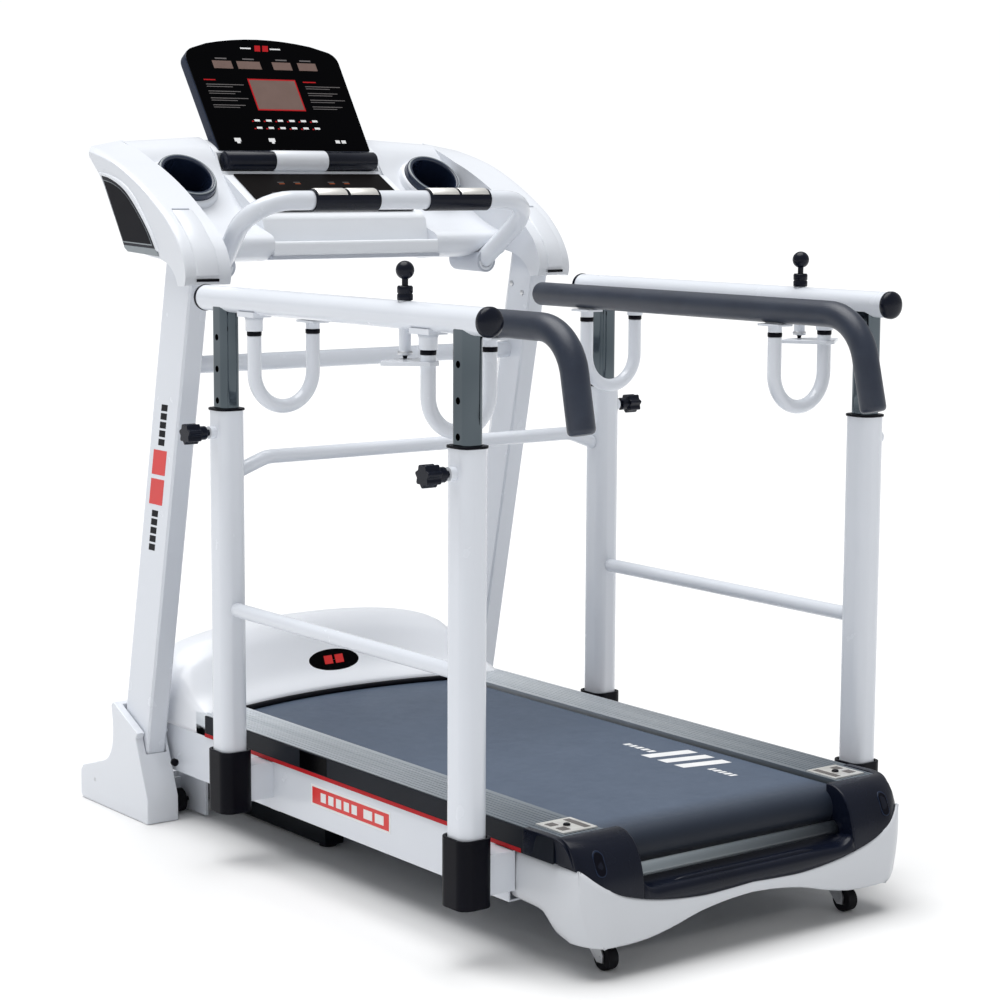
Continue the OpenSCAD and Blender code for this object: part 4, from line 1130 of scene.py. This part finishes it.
def deck_details():
    for name, sign in SIDES:
        def side(u, v, n, sign=sign):
            return at(sign * (349 + n), u, v)

        marks(f"red_stripe_{name}", [(-397, 177.6, 561.5, 184.5)], side, red, "deck")
        marks(f"band_gloss_{name}", [(150, 186, 236, 216)], side, panel_black, "deck", 0.3)

        def beam(u, v, n, sign=sign):
            return at(sign * (345 + n), u, v)

        marks(f"label_edge_{name}", [(-37, 125.5, 205, 162.5)], beam, print_white, "deck", 0.3)
        marks(f"label_red_{name}", [(-33, 129.5, 201, 158.5)], beam, label_red, "deck", 0.6)
        glyphs = [(-18, 136, 8, 152), (16, 136, 42, 152)]
        glyphs += [(62 + 24 * k, 136, 78 + 24 * k, 152) for k in range(5)]
        marks(f"label_glyphs_{name}", glyphs, beam, print_white, "deck", 0.9)

        def rail_top(u, v, n, sign=sign):
            return at(sign * u, v, 218 + n)

        marks(f"end_plate_{name}", [(254, -467, 322, -399)], rail_top, plate_metal, "deck", 2.0)
        printed = [(262, -460, 274, -406), (298, -456, 314, -438), (298, -426, 314, -410)]
        marks(f"end_plate_print_{name}", printed, rail_top, end_print, "deck", 2.4)
        turned(f"end_plate_screw_{name}", at(sign * 288, -433, 219.5), ALONG_Z,
               [(0, 6), (2.2, 5.8), (3.4, 4.4), (3.5, 1.6), (2.4, 1.4)], black, "deck", 24)
    belt_marks = [(125 + 44 * k, 122, 150 + 44 * k, 214, 20) for k in range(3)]
    belt_marks += [(44 + 16 * k, 148, 54 + 16 * k, 162, 3) for k in range(5)]
    belt_marks += [(268 + 13 * k, 148, 276 + 13 * k, 162, 3) for k in range(5)]
    marks("belt_mark", belt_marks, lambda u, v, n: at(v, -u, 211 + n), print_white, "deck", 0.25)


deck_details()

# ---------------------------------------------------------------- rails, arms and grips


RING = [(0, 7.2), (0, 12), (0.6, 12.6), (6.8, 12.6), (7.4, 12), (7.4, 7.2)]
PIN_Z = 938.4  # the rings round the swing arms' pins
PLUNGER_Y = -188


def rail_details():
    for name, sign in SIDES:
        body = f"{name}_side_rail"
        x = sign * RAIL_X
        turned(f"rail_cap_rear_{name}", at(x, -402, RAIL_Z), -ALONG_Y,
               [(0, 22.3), (0, 23.2), (6, 23.4), (9.5, 22.2), (12.5, 18.8), (14.6, 13.2), (15.6, 6),
                (15.8, 1)], navy, body, 48)
        turned(f"rail_cap_front_{name}", at(x, 415, RAIL_Z), ALONG_Y,
               [(0, 22.2), (0, 23), (4, 23.2), (7, 22.4), (8.6, 20), (9, 10), (9, 1)], navy, body, 48)
        turned(f"lever_sleeve_{name}", at(x, PLUNGER_Y, 1018.5), ALONG_Z,
               [(0, 9.6), (0, 11.6), (1.5, 12.4), (9, 12.4), (10, 11.2), (11, 11.2), (12, 12.4), (20, 12.4),
                (22.5, 11), (22.6, 9.6)], navy, body, 40)
        turned(f"lever_tube_ring_{name}", at(x, PLUNGER_Y, 934), ALONG_Z,
               [(0, 9.7), (0, 11), (1, 11.6), (5, 11.6), (6, 11), (6, 9.7)], zinc, body, 32)
        for y in (-250, 258):
            turned(f"arm_ring_{name}_{y}", at(x, y, PIN_Z), ALONG_Z, RING, black, body)
            turned(f"arm_collar_{name}_{y}", at(x, y, 946), ALONG_Z,
                   [(0, 12.1), (0, 14), (1, 14.6), (18, 14.6), (24, 16.5), (24, 12.1)], paint, body)
            turned(f"grip_ring_{name}_{y}", at(sign * GRIP_X, y, PIN_Z), ALONG_Z, RING, black, f"{name}_grip")
        grip_pad(name, sign)


def grip_pad(name, sign):
    """A foam sleeve along the bent grip bar, with a soft edge at each end."""
    path = bent_path([(GRIP_X, 402, GRIP_Z), (GRIP_X, -448, GRIP_Z), (GRIP_X + 3, -484, 828)], 86, 14)
    first, last = path[0], path[-1]
    edge = ((0.3, 12), (0.6, 16.5), (2, 19.4), (4.5, 21.2), (8, GRIP_RADIUS))
    rings = [(first[0] + first[1] * d, first[1], r) for d, r in edge]
    rings += [(centre, direction, GRIP_RADIUS) for centre, direction in path[1:-1]]
    rings += [(last[0] - last[1] * d, last[1], r) for d, r in reversed(edge)]
    rows = []
    for centre, direction, radius in rings:
        up = direction.cross(ALONG_X).normalized()
        across = up.cross(direction).normalized()
        ring = [centre + radius * (across * math.cos(t) + up * math.sin(t)) for t in turn_steps(36)]
        rows.append([at(sign * p.x, p.y, p.z) for p in ring])
    pad = closed_tube(f"grip_foam_{name}", rows, foam, f"{name}_grip")
    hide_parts(f"{name}_grip_foam")


rail_details()

# ---------------------------------------------------------------- floor and light

FLOOR_HALF = 120
floor_corners = [(FLOOR_HALF * x, FLOOR_HALF * y, 0) for x, y in ((-1, -1), (1, -1), (1, 1), (-1, 1))]
pale = finish("floor", (0.78, 0.78, 0.78), 0.7, 0.004, 1, 60, 0.01, Specular_IOR_Level=0.1)
mesh_piece("floor", floor_corners, [[0, 1, 2, 3]], pale, None)

# The room is white to the eye, and its light a little weaker, so that pale parts keep their shades
world = bpy.data.worlds.new("world")
bpy.context.scene.world = world
world.use_nodes = True
room = world.node_tree.nodes["Background"]
room.inputs["Color"].default_value = (0.97, 0.985, 1.0, 1)
light_path = world.node_tree.nodes.new("ShaderNodeLightPath")
room_strength = world.node_tree.nodes.new("ShaderNodeMapRange")
room_strength.inputs["To Min"].default_value = 0.45
room_strength.inputs["To Max"].default_value = 1.05
world.node_tree.links.new(light_path.outputs["Is Camera Ray"], room_strength.inputs["Value"])
world.node_tree.links.new(room_strength.outputs["Result"], room.inputs["Strength"])


sun = bpy.data.lights.new("key", "SUN")
sun.energy = 3.45
sun.angle = math.radians(58)
key = bpy.data.objects.new("key", sun)
key.location = (-0.35, 0.6, 4.0)
key.rotation_euler = (-key.location).to_track_quat("-Z", "Y").to_euler()
bpy.context.scene.collection.objects.link(key)
bpy.context.scene.view_settings.view_transform = "Standard"
